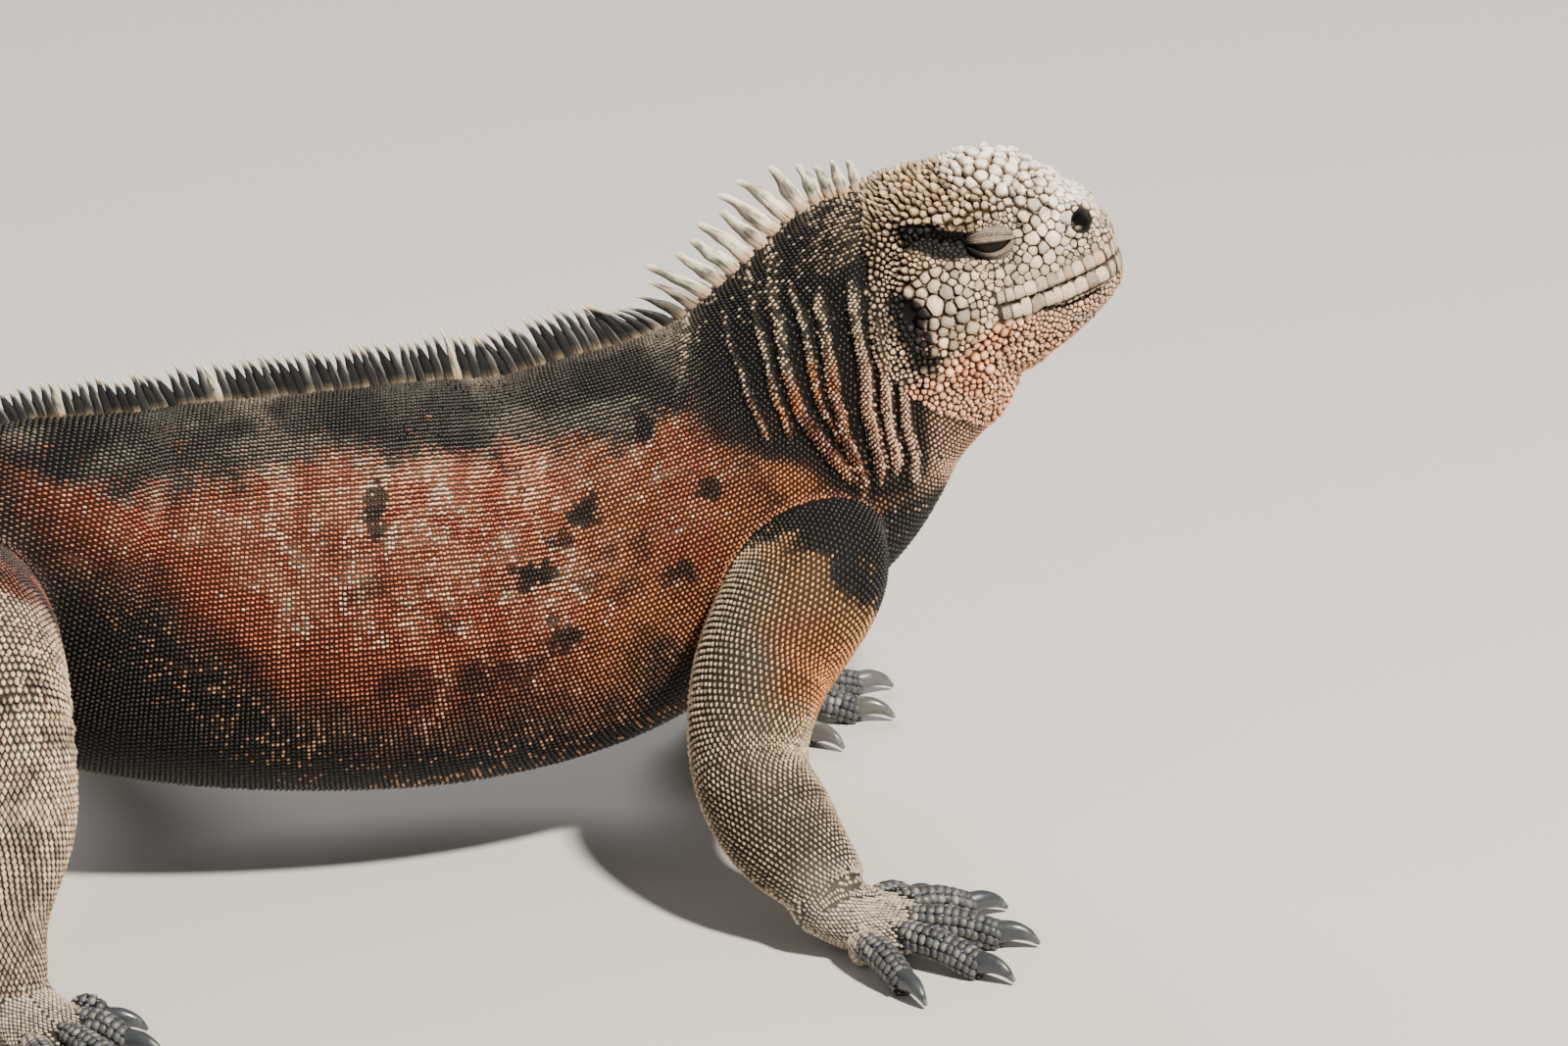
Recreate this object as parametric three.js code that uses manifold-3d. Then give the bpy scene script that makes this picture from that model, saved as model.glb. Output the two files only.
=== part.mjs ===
// A marine iguana, life size, standing with its head raised: a still model.
// Millimetres, +X towards the snout, +Y to the animal's left, +Z up, the floor at z = 0.
// The flesh is a few lofts joined into one body and parted with thin cuts, so that
// head, neck, trunk, tail, limbs, eyes and claws are each one named, closed solid.

import * as THREE from "three";
import { mergeVertices } from "three/addons/utils/BufferGeometryUtils.js";
import Module from "manifold-3d";

const wasm = await Module();
wasm.setup();

// Driving dimensions
const GAP = 0.3; // clearance between neighbouring solids
const HEAD_ORIGIN = [60.5, 0, 149.5]; // corner of the mouth, on the midline
const HEAD_PITCH = 13; // degrees that the mouth line rises towards the snout
const MOUTH_SAG = 1.2; // how far the mouth line hangs below a straight line
const EYE_CENTRE = [3.8, 14.2, 16.4]; // in the head's own frame, left side
const EYE_RADIUS = 6.4;
const LID_THICKNESS = 1.1;
const NOSTRIL = [28.6, 12.2, 13.4];
const EAR = [-21.5, 23.4, 6];
const SEED = 20;
const TIDY = 0.08; // edges that bend the surface by less than this are merged

// Columns of a section row: centre x, y, z, half width, height above and depth below the centre,
// roundness of the upper and of the lower half (2 is an ellipse, less is a ridge, more is a box).
const TRUNK_ROWS = [
  [-672, 34, 2.6, 1.6, 2.6, 2.9, 2, 2],
  [-625, 45, 5.2, 3.4, 7, 5.7, 1.9, 2],
  [-565, 38, 8.2, 5.6, 11, 8.8, 1.9, 2],
  [-505, 12, 11.2, 8, 15, 11.9, 1.9, 2],
  [-445, -11, 14.4, 10.6, 18.5, 15.1, 1.9, 2],
  [-388, -16, 19, 13.2, 21.5, 19.6, 1.9, 2],
  [-334, -8, 37, 17, 25, 24, 1.9, 2],
  [-288, -1, 64, 22, 28, 29, 1.9, 2],
  [-248, 0, 83, 32, 37, 37, 1.85, 2.1],
  [-212, 0, 82, 42, 48.5, 46, 1.8, 2.2],
  [-175, 0, 73, 51, 59, 46.5, 1.75, 2.3],
  [-135, 0, 67, 56, 65, 45.5, 1.75, 2.3],
  [-95, 0, 66, 55, 67, 45.5, 1.75, 2.3],
  [-60, 0, 73, 49.5, 63, 47, 1.8, 2.2],
  [-30, 0, 88, 42, 56.5, 47.5, 1.85, 2],
  [-2, 0, 108, 36.5, 45.5, 48.5, 1.9, 1.9],
  [20, 0, 130, 32.5, 40, 42.5, 1.95, 1.75],
  [38, 0, 146, 29.5, 38.5, 40, 2, 1.8],
  [54, 0, 159, 22, 27, 29, 2, 2],
];

// The same columns in the head's own frame: x along the head, z up from the mouth line.
const HEAD_ROWS = [
  [-30, 0, 5, 19, 27, 19, 2, 2],
  [-20, 0, 5, 25, 31.5, 25, 2.1, 2],
  [-8, 0, 5, 25.5, 31, 31, 2.2, 2],
  [4, 0, 5, 22.5, 30.5, 31, 2.3, 1.9],
  [14, 0, 5, 18.8, 27.5, 27, 2.3, 1.9],
  [22, 0, 5, 16, 21.5, 23.5, 2.3, 1.9],
  [29, 0, 5, 13.4, 13.5, 19.5, 2.3, 2],
  [34, 0, 5, 10, 5.5, 15.5, 2.2, 2],
];

// Soft bulges (positive) and hollows (negative) of the head: centre, spread along x, y and z, height.
// Each is on the left side and is mirrored to the right.
const HEAD_BULGES = [
  { at: [4, 17.5, 25.5], spread: [10, 5, 3.6], height: 2.4 }, // brow ridge
  { at: [16, 14.5, 20.5], spread: [6, 5, 3.2], height: 1.4 }, // ridge from brow to snout
  { at: [4, 21.5, 15.5], spread: [8, 5, 5.5], height: -2.4 }, // eye socket
  { at: [-10, 22, 17], spread: [5.5, 6, 5.5], height: -1.8 }, // temple
  { at: [-12, 24, 2], spread: [8, 7, 8], height: 2.2 }, // jaw muscle
  { at: [28, 11, 12.5], spread: [5, 6, 5], height: 1.2 }, // swelling round the nostril
  { at: [37, 0, -3.5], spread: [5, 9, 3.6], height: 0.6 }, // tip of the lower lip
  { at: [9, 18, 6.5], spread: [12, 8, 2.6], height: -0.9 }, // hollow above the upper lip
  { at: [-22.5, 25, 5], spread: [5, 5, 8], height: -2.2 }, // hollow of the ear
];

// Limb rows: centre x, y, z, half width fore and aft, half thickness outwards, half thickness inwards.
const ARM_RIGHT_ROWS = [
  [10, -20, 92, 17, 15, 15],
  [6, -38, 82, 21, 18, 18],
  [-9, -56, 62, 18.5, 17, 17],
  [-13.8, -70, 42, 15.8, 15, 15],
  [-6.5, -85, 28, 15.8, 13.5, 13.5],
  [5, -100, 17, 11.4, 9.6, 9.6],
];
const ARM_LEFT_ROWS = [
  [8, 20, 92, 17, 15, 15],
  [0, 36, 81, 21, 18, 18],
  [-18, 46, 60, 18.5, 17, 17],
  [-34, 52, 42, 16.2, 15, 15],
  [-35, 60, 28, 15.8, 13.5, 13.5],
  [-27, 66, 17, 11.4, 9.6, 9.6],
];
const LEG_RIGHT_ROWS = [
  [-228, -16, 86, 22, 22, 22],
  [-224, -44, 88, 25, 24, 24],
  [-215, -74, 90, 22, 21, 21],
  [-209, -98, 82, 19.5, 17, 19],
  [-209, -109, 56, 19, 15.5, 15.5],
  [-212, -117, 32, 13, 11, 11],
  [-212, -122, 17, 11.5, 9.5, 9.5],
];
const LEG_LEFT_ROWS = [
  [-228, 16, 86, 22, 22, 22],
  [-220, 44, 87, 25, 24, 24],
  [-206, 72, 88, 22, 21, 21],
  [-198, 94, 79, 19.5, 17, 19],
  [-204, 103, 54, 19, 15.5, 15.5],
  [-212, 109, 31, 13, 11, 11],
  [-214, 113, 17, 11.5, 9.5, 9.5],
];

// Digits: heading from the foot's own axis in degrees, length to the claw's tip, thickness at the root.
const HAND_DIGITS = [
  { name: "1", heading: 54, length: 39, radius: 4.3 },
  { name: "2", heading: 31, length: 50, radius: 4.4 },
  { name: "3", heading: 3, length: 56, radius: 4.3 },
  { name: "4", heading: -22, length: 58, radius: 4.3 },
  { name: "5", heading: -49, length: 51, radius: 4.2 },
];
const FOOT_DIGITS = [
  { name: "1", heading: 46, length: 37, radius: 4.2 },
  { name: "2", heading: 24, length: 48, radius: 4.3 },
  { name: "3", heading: 3, length: 61, radius: 4.4 },
  { name: "4", heading: -18, length: 74, radius: 4.4 },
  { name: "5", heading: -62, length: 46, radius: 4.1 },
];

// Small vector helpers on plain arrays
const add = (a, b) => a.map((v, i) => v + b[i]);
const scale = (a, k) => a.map((v) => v * k);
const dot = (a, b) => a.reduce((sum, v, i) => sum + v * b[i], 0);
const cross = (a, b) => [
  a[1] * b[2] - a[2] * b[1],
  a[2] * b[0] - a[0] * b[2],
  a[0] * b[1] - a[1] * b[0],
];
const unit = (a) => scale(a, 1 / Math.hypot(...a));
const radians = (degrees) => (degrees * Math.PI) / 180;
const UP = [0, 0, 1];

// Repeatable random numbers from 0 to 1
function randomFrom(seed) {
  let state = seed >>> 0;
  return () => {
    state = (state * 1664525 + 1013904223) >>> 0;
    return state / 4294967296;
  };
}

// A uniform Catmull-Rom spline through rows of numbers; t runs from 0 at the first row to 1 at the last.
function splineRow(rows, t) {
  const place = Math.min(Math.max(t, 0), 1) * (rows.length - 1);
  const i = Math.min(Math.floor(place), rows.length - 2);
  const f = place - i;
  const [p1, p2] = [rows[i], rows[i + 1]];
  const p0 = rows[i - 1] ?? p1.map((v, k) => 2 * v - p2[k]);
  const p3 = rows[i + 2] ?? p2.map((v, k) => 2 * v - p1[k]);
  return p1.map(
    (v, k) =>
      v +
      0.5 * f * (p2[k] - p0[k]) +
      f * f * (p0[k] - 2.5 * v + 2 * p2[k] - 0.5 * p3[k]) +
      f * f * f * (1.5 * (v - p2[k]) + 0.5 * (p3[k] - p0[k])),
  );
}

// The section row at t with its frame: along the loft, up (nearest to the reference), and sideways.
function frameAt(rows, t, reference) {
  const row = splineRow(rows, t);
  const step = 0.004;
  const ahead = splineRow(rows, t + step).slice(0, 3);
  const behind = splineRow(rows, t - step).slice(0, 3);
  const along = unit(add(ahead, scale(behind, -1)));
  const up = unit(add(reference, scale(along, -dot(reference, along))));
  return { row, along, up, side: cross(up, along) };
}

// A point on a superellipse section: angle 0 is the side, 90 degrees the top.
function sectionPoint({ row, up, side }, angle, size, shift) {
  const [x, y, z, width, above, below, roundTop = 2, roundBottom = 2] = row;
  const [c, s] = [Math.cos(angle), Math.sin(angle)];
  const power = 2 / (s >= 0 ? roundTop : roundBottom);
  const across = width * Math.sign(c) * Math.abs(c) ** power * size;
  const rise = (s >= 0 ? above : below) * Math.sign(s) * Math.abs(s) ** power * size;
  return add(add([x, y, z], shift), add(scale(side, across), scale(up, rise)));
}

// A closed loft of superellipse sections along a spline of rows, with a rounded cap at each end.
function loftGeometry({ rows, reference = UP, rings, sides, capStart, capEnd, capRings = 2 }) {
  const stops = [];
  for (let i = 1; i <= capRings; i++) stops.push({ t: 0, lean: (i / (capRings + 1)) * 90, back: -capStart });
  for (let i = 0; i <= rings; i++) stops.push({ t: i / rings, lean: 90, back: 0 });
  for (let i = capRings; i >= 1; i--) stops.push({ t: 1, lean: (i / (capRings + 1)) * 90, back: capEnd });
  const first = frameAt(rows, 0, reference);
  const last = frameAt(rows, 1, reference);
  const points = [add(first.row.slice(0, 3), scale(first.along, -capStart))];
  for (const { t, lean, back } of stops) {
    const frame = frameAt(rows, t, reference);
    const shift = scale(frame.along, back * Math.cos(radians(lean)));
    for (let k = 0; k < sides; k++)
      points.push(sectionPoint(frame, (k / sides) * 2 * Math.PI, Math.sin(radians(lean)), shift));
  }
  points.push(add(last.row.slice(0, 3), scale(last.along, capEnd)));

  const faces = [];
  const end = points.length - 1;
  for (let k = 0; k < sides; k++) {
    const next = (k + 1) % sides;
    faces.push(0, 1 + next, 1 + k);
    for (let r = 0; r < stops.length - 1; r++) {
      const [a, b] = [1 + r * sides + k, 1 + r * sides + next];
      faces.push(a, b, b + sides, a, b + sides, a + sides);
    }
    faces.push(end - sides + k, end - sides + next, end);
  }
  return new THREE.BufferGeometry()
    .setAttribute("position", new THREE.Float32BufferAttribute(points.flat(), 3))
    .setIndex(faces);
}

// Moves each vertex along its normal by the height that the relief gives at its place.
function emboss(geometry, relief) {
  geometry.computeVertexNormals();
  const { position, normal } = geometry.attributes;
  for (let i = 0; i < position.count; i++) {
    const place = [position.getX(i), position.getY(i), position.getZ(i)];
    const facing = [normal.getX(i), normal.getY(i), normal.getZ(i)];
    position.setXYZ(i, ...add(place, scale(facing, relief(place))));
  }
  return geometry;
}

// A closed geometry as a manifold solid, turned outwards if its faces point in.
function solidOf(geometry) {
  const bare = geometry.clone();
  bare.deleteAttribute("normal");
  bare.deleteAttribute("uv");
  const merged = mergeVertices(bare, 1e-4);
  const build = (order) => {
    const source = merged.index.array;
    const triVerts = new Uint32Array(source.length);
    for (let i = 0; i < source.length; i += 3) order.forEach((k, j) => (triVerts[i + j] = source[i + k]));
    return new wasm.Manifold(
      new wasm.Mesh({ numProp: 3, vertProperties: new Float32Array(merged.attributes.position.array), triVerts }),
    );
  };
  const solid = build([0, 1, 2]);
  return solid.volume() < 0 ? build([0, 2, 1]) : solid;
}

function geometryOf(solid) {
  const mesh = solid.getMesh();
  const flat = new THREE.BufferGeometry()
    .setAttribute("position", new THREE.BufferAttribute(mesh.vertProperties, 3))
    .setIndex(new THREE.BufferAttribute(mesh.triVerts, 1))
    .toNonIndexed();
  flat.computeVertexNormals();
  return flat;
}

// The largest closed surface of a solid, which drops scraps and fills sealed hollows.
function largest(solid) {
  const pieces = solid.decompose();
  return pieces.reduce((best, piece) => (piece.volume() > best.volume() ? piece : best));
}

const unionOf = (solids) => wasm.Manifold.union(solids);

// Keeps what lies beyond a plane through a point, on the side that the normal faces.
const keepBeyond = (solid, point, normal) => solid.trimByPlane(unit(normal), dot(point, unit(normal)));

// A prism from an outline in the x-z plane, reaching far out to both sides.
function sidePrism(outline) {
  const shape = new THREE.Shape(outline.map(([x, z]) => new THREE.Vector2(x, z)));
  const reach = 200;
  const geometry = new THREE.ExtrudeGeometry(shape, { depth: 2 * reach, bevelEnabled: false });
  geometry.translate(0, 0, -reach);
  geometry.rotateX(Math.PI / 2);
  return geometry;
}

function ellipsoid(centre, radii, columns = 12, bands = 8) {
  return new THREE.SphereGeometry(1, columns, bands).scale(...radii).translate(...centre);
}

const headMatrix = new THREE.Matrix4()
  .makeRotationY(-radians(HEAD_PITCH))
  .setPosition(...HEAD_ORIGIN);
const inHead = (geometry) => solidOf(geometry.applyMatrix4(headMatrix));
const mirrored = ([x, y, z]) => [x, -y, z];
const SIDES = [
  { name: "left", flip: (p) => p },
  { name: "right", flip: mirrored },
];

// Height of the mouth line in the head's frame
const MOUTH_FRONT = 36;
const mouthHeight = (x) => -MOUTH_SAG * Math.sin((Math.PI * Math.min(Math.max(x, 0), MOUTH_FRONT)) / MOUTH_FRONT);

// Relief of the head: the named bulges
function headRelief([x, y, z]) {
  let height = 0;
  for (const { at, spread, height: rise } of HEAD_BULGES) {
    const far = ((x - at[0]) / spread[0]) ** 2 + ((Math.abs(y) - at[1]) / spread[1]) ** 2 + ((z - at[2]) / spread[2]) ** 2;
    height += rise * Math.exp(-far);
  }
  return height;
}

// A crest spine: a flat, tapered blade of four sides, leaning back from the midline. It bends
// back a little at a ring of its own unless it is plain.
function spine({ root, along, up, side, height, length, thickness, lean, sink, plain }) {
  const axis = (share) => {
    const turn = radians(lean) * (0.7 + 0.6 * share);
    return add(scale(up, height * share * Math.cos(turn)), scale(along, -height * share * Math.sin(turn)));
  };
  const ring = (centre, long, wide) => [
    add(centre, scale(along, long)),
    add(centre, scale(side, wide)),
    add(centre, scale(along, -long)),
    add(centre, scale(side, -wide)),
  ];
  const points = ring(add(root, scale(up, -sink)), length / 2, thickness / 2);
  if (!plain) points.push(...ring(add(root, axis(0.6)), length * 0.36, thickness * 0.36));
  const last = points.length - 4;
  points.push(add(root, axis(1)));
  const faces = [0, 2, 1, 0, 3, 2];
  for (let k = 0; k < 4; k++) {
    const next = (k + 1) % 4;
    if (!plain) faces.push(k, next, 4 + next, k, 4 + next, 4 + k);
    faces.push(last + k, last + next, last + 4);
  }
  return solidOf(
    new THREE.BufferGeometry()
      .setAttribute("position", new THREE.Float32BufferAttribute(points.flat(), 3))
      .setIndex(faces),
  );
}

// The line of the back from the tail's tip to the nape, with the length along it
const backAt = (t) => sectionPoint(frameAt(TRUNK_ROWS, t, UP), Math.PI / 2, 1, [0, 0, 0]);
const BACK_LINE = [];
for (let i = 0; i <= 600; i++) {
  const point = backAt(i / 600);
  const before = BACK_LINE[i - 1];
  const length = before ? before.length + Math.hypot(...add(point, scale(before.point, -1))) : 0;
  BACK_LINE.push({ point, length });
}
const BACK_LENGTH = BACK_LINE[600].length;

// A place on the back at a length from the tail's tip: root, direction along and direction out
function backPlace(length) {
  const i = Math.max(1, BACK_LINE.findIndex((place) => place.length > length));
  const [low, high] = [BACK_LINE[i - 1], BACK_LINE[i]];
  const share = (length - low.length) / (high.length - low.length);
  const root = add(low.point, scale(add(high.point, scale(low.point, -1)), share));
  const [behind, before] = [BACK_LINE[Math.max(0, i - 6)], BACK_LINE[Math.min(600, i + 5)]];
  const along = unit(add(before.point, scale(behind.point, -1)));
  const side = unit(cross(UP, along));
  return { root, along, side, up: cross(along, side) };
}

// Crest: x on the back, spine height, spacing between spines, lean back from upright to the back.
const CREST_ROWS = [
  [-660, 2.5, 6, 30],
  [-600, 5, 7, 30],
  [-450, 7, 7.5, 28],
  [-320, 8.5, 7, 24],
  [-215, 9.5, 4.8, 16],
  [-120, 13, 4.6, 14],
  [-45, 14.5, 4.5, 14],
  [-28, 12, 4.4, 10],
  [-16, 18, 4, 6],
  [0, 19.5, 4, 6],
  [12, 16, 4, 4],
  [19, 11, 3.8, 2],
  [26, 10, 3.6, 0],
];
const CREST_FRONT = 25.5; // where the crest ends, behind the head
const NAPE = -20; // ahead of this the spines are the long, pale ones of the neck
const TAIL = -236; // behind this they are plain and short
function crestAt(x) {
  const i = Math.max(1, CREST_ROWS.findIndex((row) => row[0] > x));
  const share = THREE.MathUtils.clamp((x - CREST_ROWS[i - 1][0]) / (CREST_ROWS[i][0] - CREST_ROWS[i - 1][0]), 0, 1);
  const [, height, spacing, lean] = CREST_ROWS[i].map((v, k) => THREE.MathUtils.lerp(CREST_ROWS[i - 1][k], v, share));
  return { height, spacing, lean };
}

function crestSpines() {
  const random = randomFrom(SEED);
  const made = [];
  for (let length = 9; length < BACK_LENGTH; ) {
    const place = backPlace(length);
    const x = place.root[0];
    if (x > CREST_FRONT) break;
    const { height, spacing, lean } = crestAt(x);
    const form = {
      height: height * (0.88 + 0.24 * random()),
      length: Math.min(spacing * 0.84, x < TAIL ? 4.6 : 3.4),
      thickness: x > NAPE ? 2.4 : 2,
      lean,
      sink: 3,
      plain: x < TAIL,
    };
    made.push({ root: place.root, solid: spine({ ...place, ...form }) });
    length += spacing;
  }
  return made;
}

// A limb's loft, with the fore and aft direction as its reference.
function limbGeometry(rows, swell = 0) {
  const grown = rows.map(([x, y, z, w, out, inner]) => [x, y, z, out + swell, w + swell, w + swell]);
  return loftGeometry({ rows: grown, reference: [1, 0, 0], rings: 9, sides: 12, capStart: 6, capEnd: 4 });
}

const floorBox = solidOf(new THREE.BoxGeometry(1200, 800, 60).translate(-300, 0, -30));

// A palm, its five digits and their claws. The heading is the foot's axis, anticlockwise from +X.
function footSolids({ ankle, heading, digits, hand, palmLength, palmWidth }) {
  const turn = radians(heading);
  const forward = [Math.cos(turn), Math.sin(turn), 0];
  const leftward = [-Math.sin(turn), Math.cos(turn), 0];
  const at = (ahead, aside, up) => add([ankle[0], ankle[1], up], add(scale(forward, ahead), scale(leftward, aside)));
  const palm = solidOf(
    loftGeometry({
      rows: [
        [...at(-4, 0, ankle[2] - 2), 11, 9, 10],
        [...at(palmLength * 0.45, 0, ankle[2] * 0.55), palmWidth * 0.42, 6.5, ankle[2] * 0.55 + 0.4],
        [...at(palmLength, 0, 6.4), palmWidth * 0.5, 4.6, 6.8],
      ],
      rings: 4,
      sides: 10,
      capStart: 4,
      capEnd: 5,
      capRings: 1,
    }),
  );
  const flesh = [palm];
  const claws = [];
  for (const { name, heading: aside, length, radius } of digits) {
    const angle = turn + radians(aside * hand);
    const outward = [Math.cos(angle), Math.sin(angle), 0];
    const clawLength = 12.5;
    const start = palmLength * 0.78;
    const toe = length - clawLength;
    const place = (distance, height) => add([ankle[0], ankle[1], height], scale(outward, distance));
    const rows = [
      [...place(start, 7), radius, radius, 7.4],
      [...place(start + (toe - start) * 0.35, radius + 3.4), radius, radius, radius],
      [...place(start + (toe - start) * 0.7, radius + 2.4), radius * 0.95, radius, radius],
      [...place(toe, radius * 0.9), radius * 0.85, radius, radius * 1.08],
    ];
    const digit = solidOf(
      loftGeometry({ rows, rings: 4, sides: 7, capStart: 2, capEnd: 1.6, capRings: 1 }),
    );
    const nail = place(toe + 0.6, 0);
    flesh.push(keepBeyond(digit, nail, scale(outward, -1)));
    const clawRow = (distance, height, wide, tall) => [...place(toe + 0.6 + distance, height), wide, tall, tall];
    const claw = solidOf(
      loftGeometry({
        rows: [
          clawRow(GAP, 4.2, 2.3, 2.7),
          clawRow(4.5, 4.9, 2, 2.4),
          clawRow(8.5, 3.7, 1.4, 1.7),
          clawRow(11.5, 1.4, 0.5, 0.6),
        ],
        rings: 3,
        sides: 5,
        capStart: 0,
        capEnd: 0.5,
        capRings: 1,
      }),
    );
    claws.push({ name, solid: keepBeyond(claw, place(toe + 0.6 + GAP, 0), outward) });
  }
  return { flesh: unionOf(flesh), claws };
}

// Whole body: trunk with neck and tail, and head, before they are parted
const trunkShape = (swell) => {
  const rows = TRUNK_ROWS.map(([x, y, z, w, above, below, top, bottom]) => [
    x, y, z, w + swell, above + swell, below + swell, top, bottom,
  ]);
  return solidOf(loftGeometry({ rows, rings: 50, sides: 20, capStart: 4, capEnd: 10 }));
};
const headGeometry = emboss(
  loftGeometry({ rows: HEAD_ROWS, rings: 20, sides: 28, capStart: 8, capEnd: 2.4, capRings: 3 }),
  headRelief,
);

// Half width of the head at a place along it and a height, both in its own frame
function headHalfWidth(x, z) {
  let [low, high] = [0, 1];
  for (let i = 0; i < 20; i++) {
    const middle = (low + high) / 2;
    if (splineRow(HEAD_ROWS, middle)[0] < x) low = middle;
    else high = middle;
  }
  const [, , centre, width, above, below, roundTop, roundBottom] = splineRow(HEAD_ROWS, low);
  const power = z > centre ? roundTop : roundBottom;
  const rise = Math.abs(z - centre) / (z > centre ? above : below);
  return width * Math.max(0, 1 - rise ** power) ** (1 / power);
}

// A lip: a ridge from one corner of the mouth round the snout to the other
function lipGeometry({ offset, front, thickness }) {
  const half = [1, 8, 15, 22, 28, 32.5].map((x) => {
    const z = mouthHeight(x) + offset;
    const swell = thickness * (x < 5 ? 0.6 : 1);
    return [x, headHalfWidth(x, z) - 0.5, z, swell * 0.8, swell, swell];
  });
  const tip = [front, 0, mouthHeight(front) + offset, thickness * 0.8, thickness, thickness];
  const otherHalf = half.map(([x, y, ...rest]) => [x, -y, ...rest]).reverse();
  return loftGeometry({ rows: [...half, tip, ...otherHalf], rings: 18, sides: 6, capStart: 2, capEnd: 2, capRings: 1 });
}
const LIPS = [
  { offset: 2.3, front: 34.6, thickness: 1.9 },
  { offset: -2.6, front: 35.4, thickness: 2.1 },
];
const headWhole = unionOf([inHead(headGeometry), ...LIPS.map((lip) => inHead(lipGeometry(lip)))]);
const trunk = trunkShape(0).subtract(floorBox);
const trunkGrown = trunkShape(GAP);
const body = trunk.add(headWhole);

// Outline in the x-z plane of what belongs to the head: behind the ear, then along the jaw's angle
const headOutline = (shift) => [
  [27 - shift, 240],
  [27 - shift, 140 - shift],
  [37 - shift, 127 - shift],
  [62 - shift, 108 - shift],
  [140, 108 - shift],
  [140, 240],
];
const headRegion = solidOf(sidePrism(headOutline(0)));
const headRegionGrown = solidOf(sidePrism(headOutline(GAP)));

// Outline of the lower jaw in the head's frame, from the corner of the mouth along the mouth line
const jawOutline = (shift) => {
  const line = [];
  for (let x = -1.5; x <= 40; x += 3.5) line.push([x - (x < 0 ? shift : 0), mouthHeight(x) + shift]);
  return [...line, [44, mouthHeight(40) + shift], [44, -60], [-7 - shift, -60], [-5 - shift, -16]];
};
const jawRegion = inHead(sidePrism(jawOutline(0)));
const jawRegionGrown = inHead(sidePrism(jawOutline(GAP + 0.15)));

const nodes = [];
const addNode = (name, material, solid) => nodes.push({ name, material, solid: largest(solid).simplify(TIDY) });

// Eyes, with the lids left open by a narrow slit
const eyeCuts = [];
const lids = [];
for (const { name, flip } of SIDES) {
  const centre = flip(EYE_CENTRE);
  const size = (grow) => Array(3).fill(EYE_RADIUS + grow);
  lids.push(inHead(ellipsoid(centre, [EYE_RADIUS + LID_THICKNESS + 1.2, EYE_RADIUS + LID_THICKNESS, EYE_RADIUS + LID_THICKNESS])));
  eyeCuts.push(inHead(ellipsoid(centre, size(GAP))));
  const slit = ellipsoid([0, 0, 0], [6.6, 9, 1.5], 12, 7).rotateY(radians(22)).translate(centre[0] + 0.4, flip([0, EYE_CENTRE[1] + 7, 0])[1], centre[2] - 0.4);
  eyeCuts.push(inHead(slit));
  addNode("eye_" + name, "eye", inHead(ellipsoid(centre, size(0))));
}

// Nostrils and ears
for (const { flip } of SIDES) {
  eyeCuts.push(inHead(ellipsoid(flip(NOSTRIL), [2, 3, 2], 9, 6)));
  eyeCuts.push(inHead(ellipsoid(flip(EAR), [4.4, 2.2, 6.4], 12, 7)));
}

// Pyramids on the crown, in staggered rows from the snout to the nape
function crownTubercles() {
  const random = randomFrom(SEED + 1);
  const made = [];
  const rowsOnCrown = 10;
  for (let i = 0; i < rowsOnCrown; i++) {
    const t = 0.16 + (0.74 * i) / (rowsOnCrown - 1);
    const frame = frameAt(HEAD_ROWS, t, UP);
    const across = 5;
    for (let k = 0; k < across; k++) {
      const shift = i % 2 ? 0.5 : 0;
      const angle = radians(36 + (108 * (k + shift)) / (across - 0.5));
      const root = sectionPoint(frame, angle, 1, [0, 0, 0]);
      const near = sectionPoint(frame, angle + 0.02, 1, [0, 0, 0]);
      const facing = unit(cross(frame.along, unit(add(near, scale(root, -1)))));
      const outward = facing[2] < 0 ? scale(facing, -1) : facing;
      const forehead = Math.exp(-(((root[0] - 14) / 9) ** 2));
      const radius = 2.3 + 0.4 * random() + 0.3 * forehead;
      const height = (1.8 + 1.6 * forehead) * (0.8 + 0.4 * random());
      const cone = new THREE.ConeGeometry(radius, height + 2, 5, 1).translate(0, height / 2 - 1, 0);
      cone.applyQuaternion(
        new THREE.Quaternion().setFromUnitVectors(new THREE.Vector3(0, 1, 0), new THREE.Vector3(...outward)),
      );
      made.push(inHead(cone.translate(...root)));
    }
  }
  return made;
}

// Limbs, each cut free of the trunk, then parted at its joints
const LIMBS = [
  {
    side: "right", upper: "upper_arm", lower: "forearm", end: "hand", rows: ARM_RIGHT_ROWS, joint: 0.6,
    heading: -14, hand: 1, digits: HAND_DIGITS, palmLength: 20, palmWidth: 30,
  },
  {
    side: "left", upper: "upper_arm", lower: "forearm", end: "hand", rows: ARM_LEFT_ROWS, joint: 0.6,
    heading: -6, hand: -1, digits: HAND_DIGITS, palmLength: 20, palmWidth: 30,
  },
  {
    side: "right", upper: "thigh", lower: "shin", end: "foot", rows: LEG_RIGHT_ROWS, joint: 0.52,
    heading: -52, hand: 1, digits: FOOT_DIGITS, palmLength: 24, palmWidth: 27,
  },
  {
    side: "left", upper: "thigh", lower: "shin", end: "foot", rows: LEG_LEFT_ROWS, joint: 0.52,
    heading: 42, hand: -1, digits: FOOT_DIGITS, palmLength: 24, palmWidth: 27,
  },
];
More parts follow.
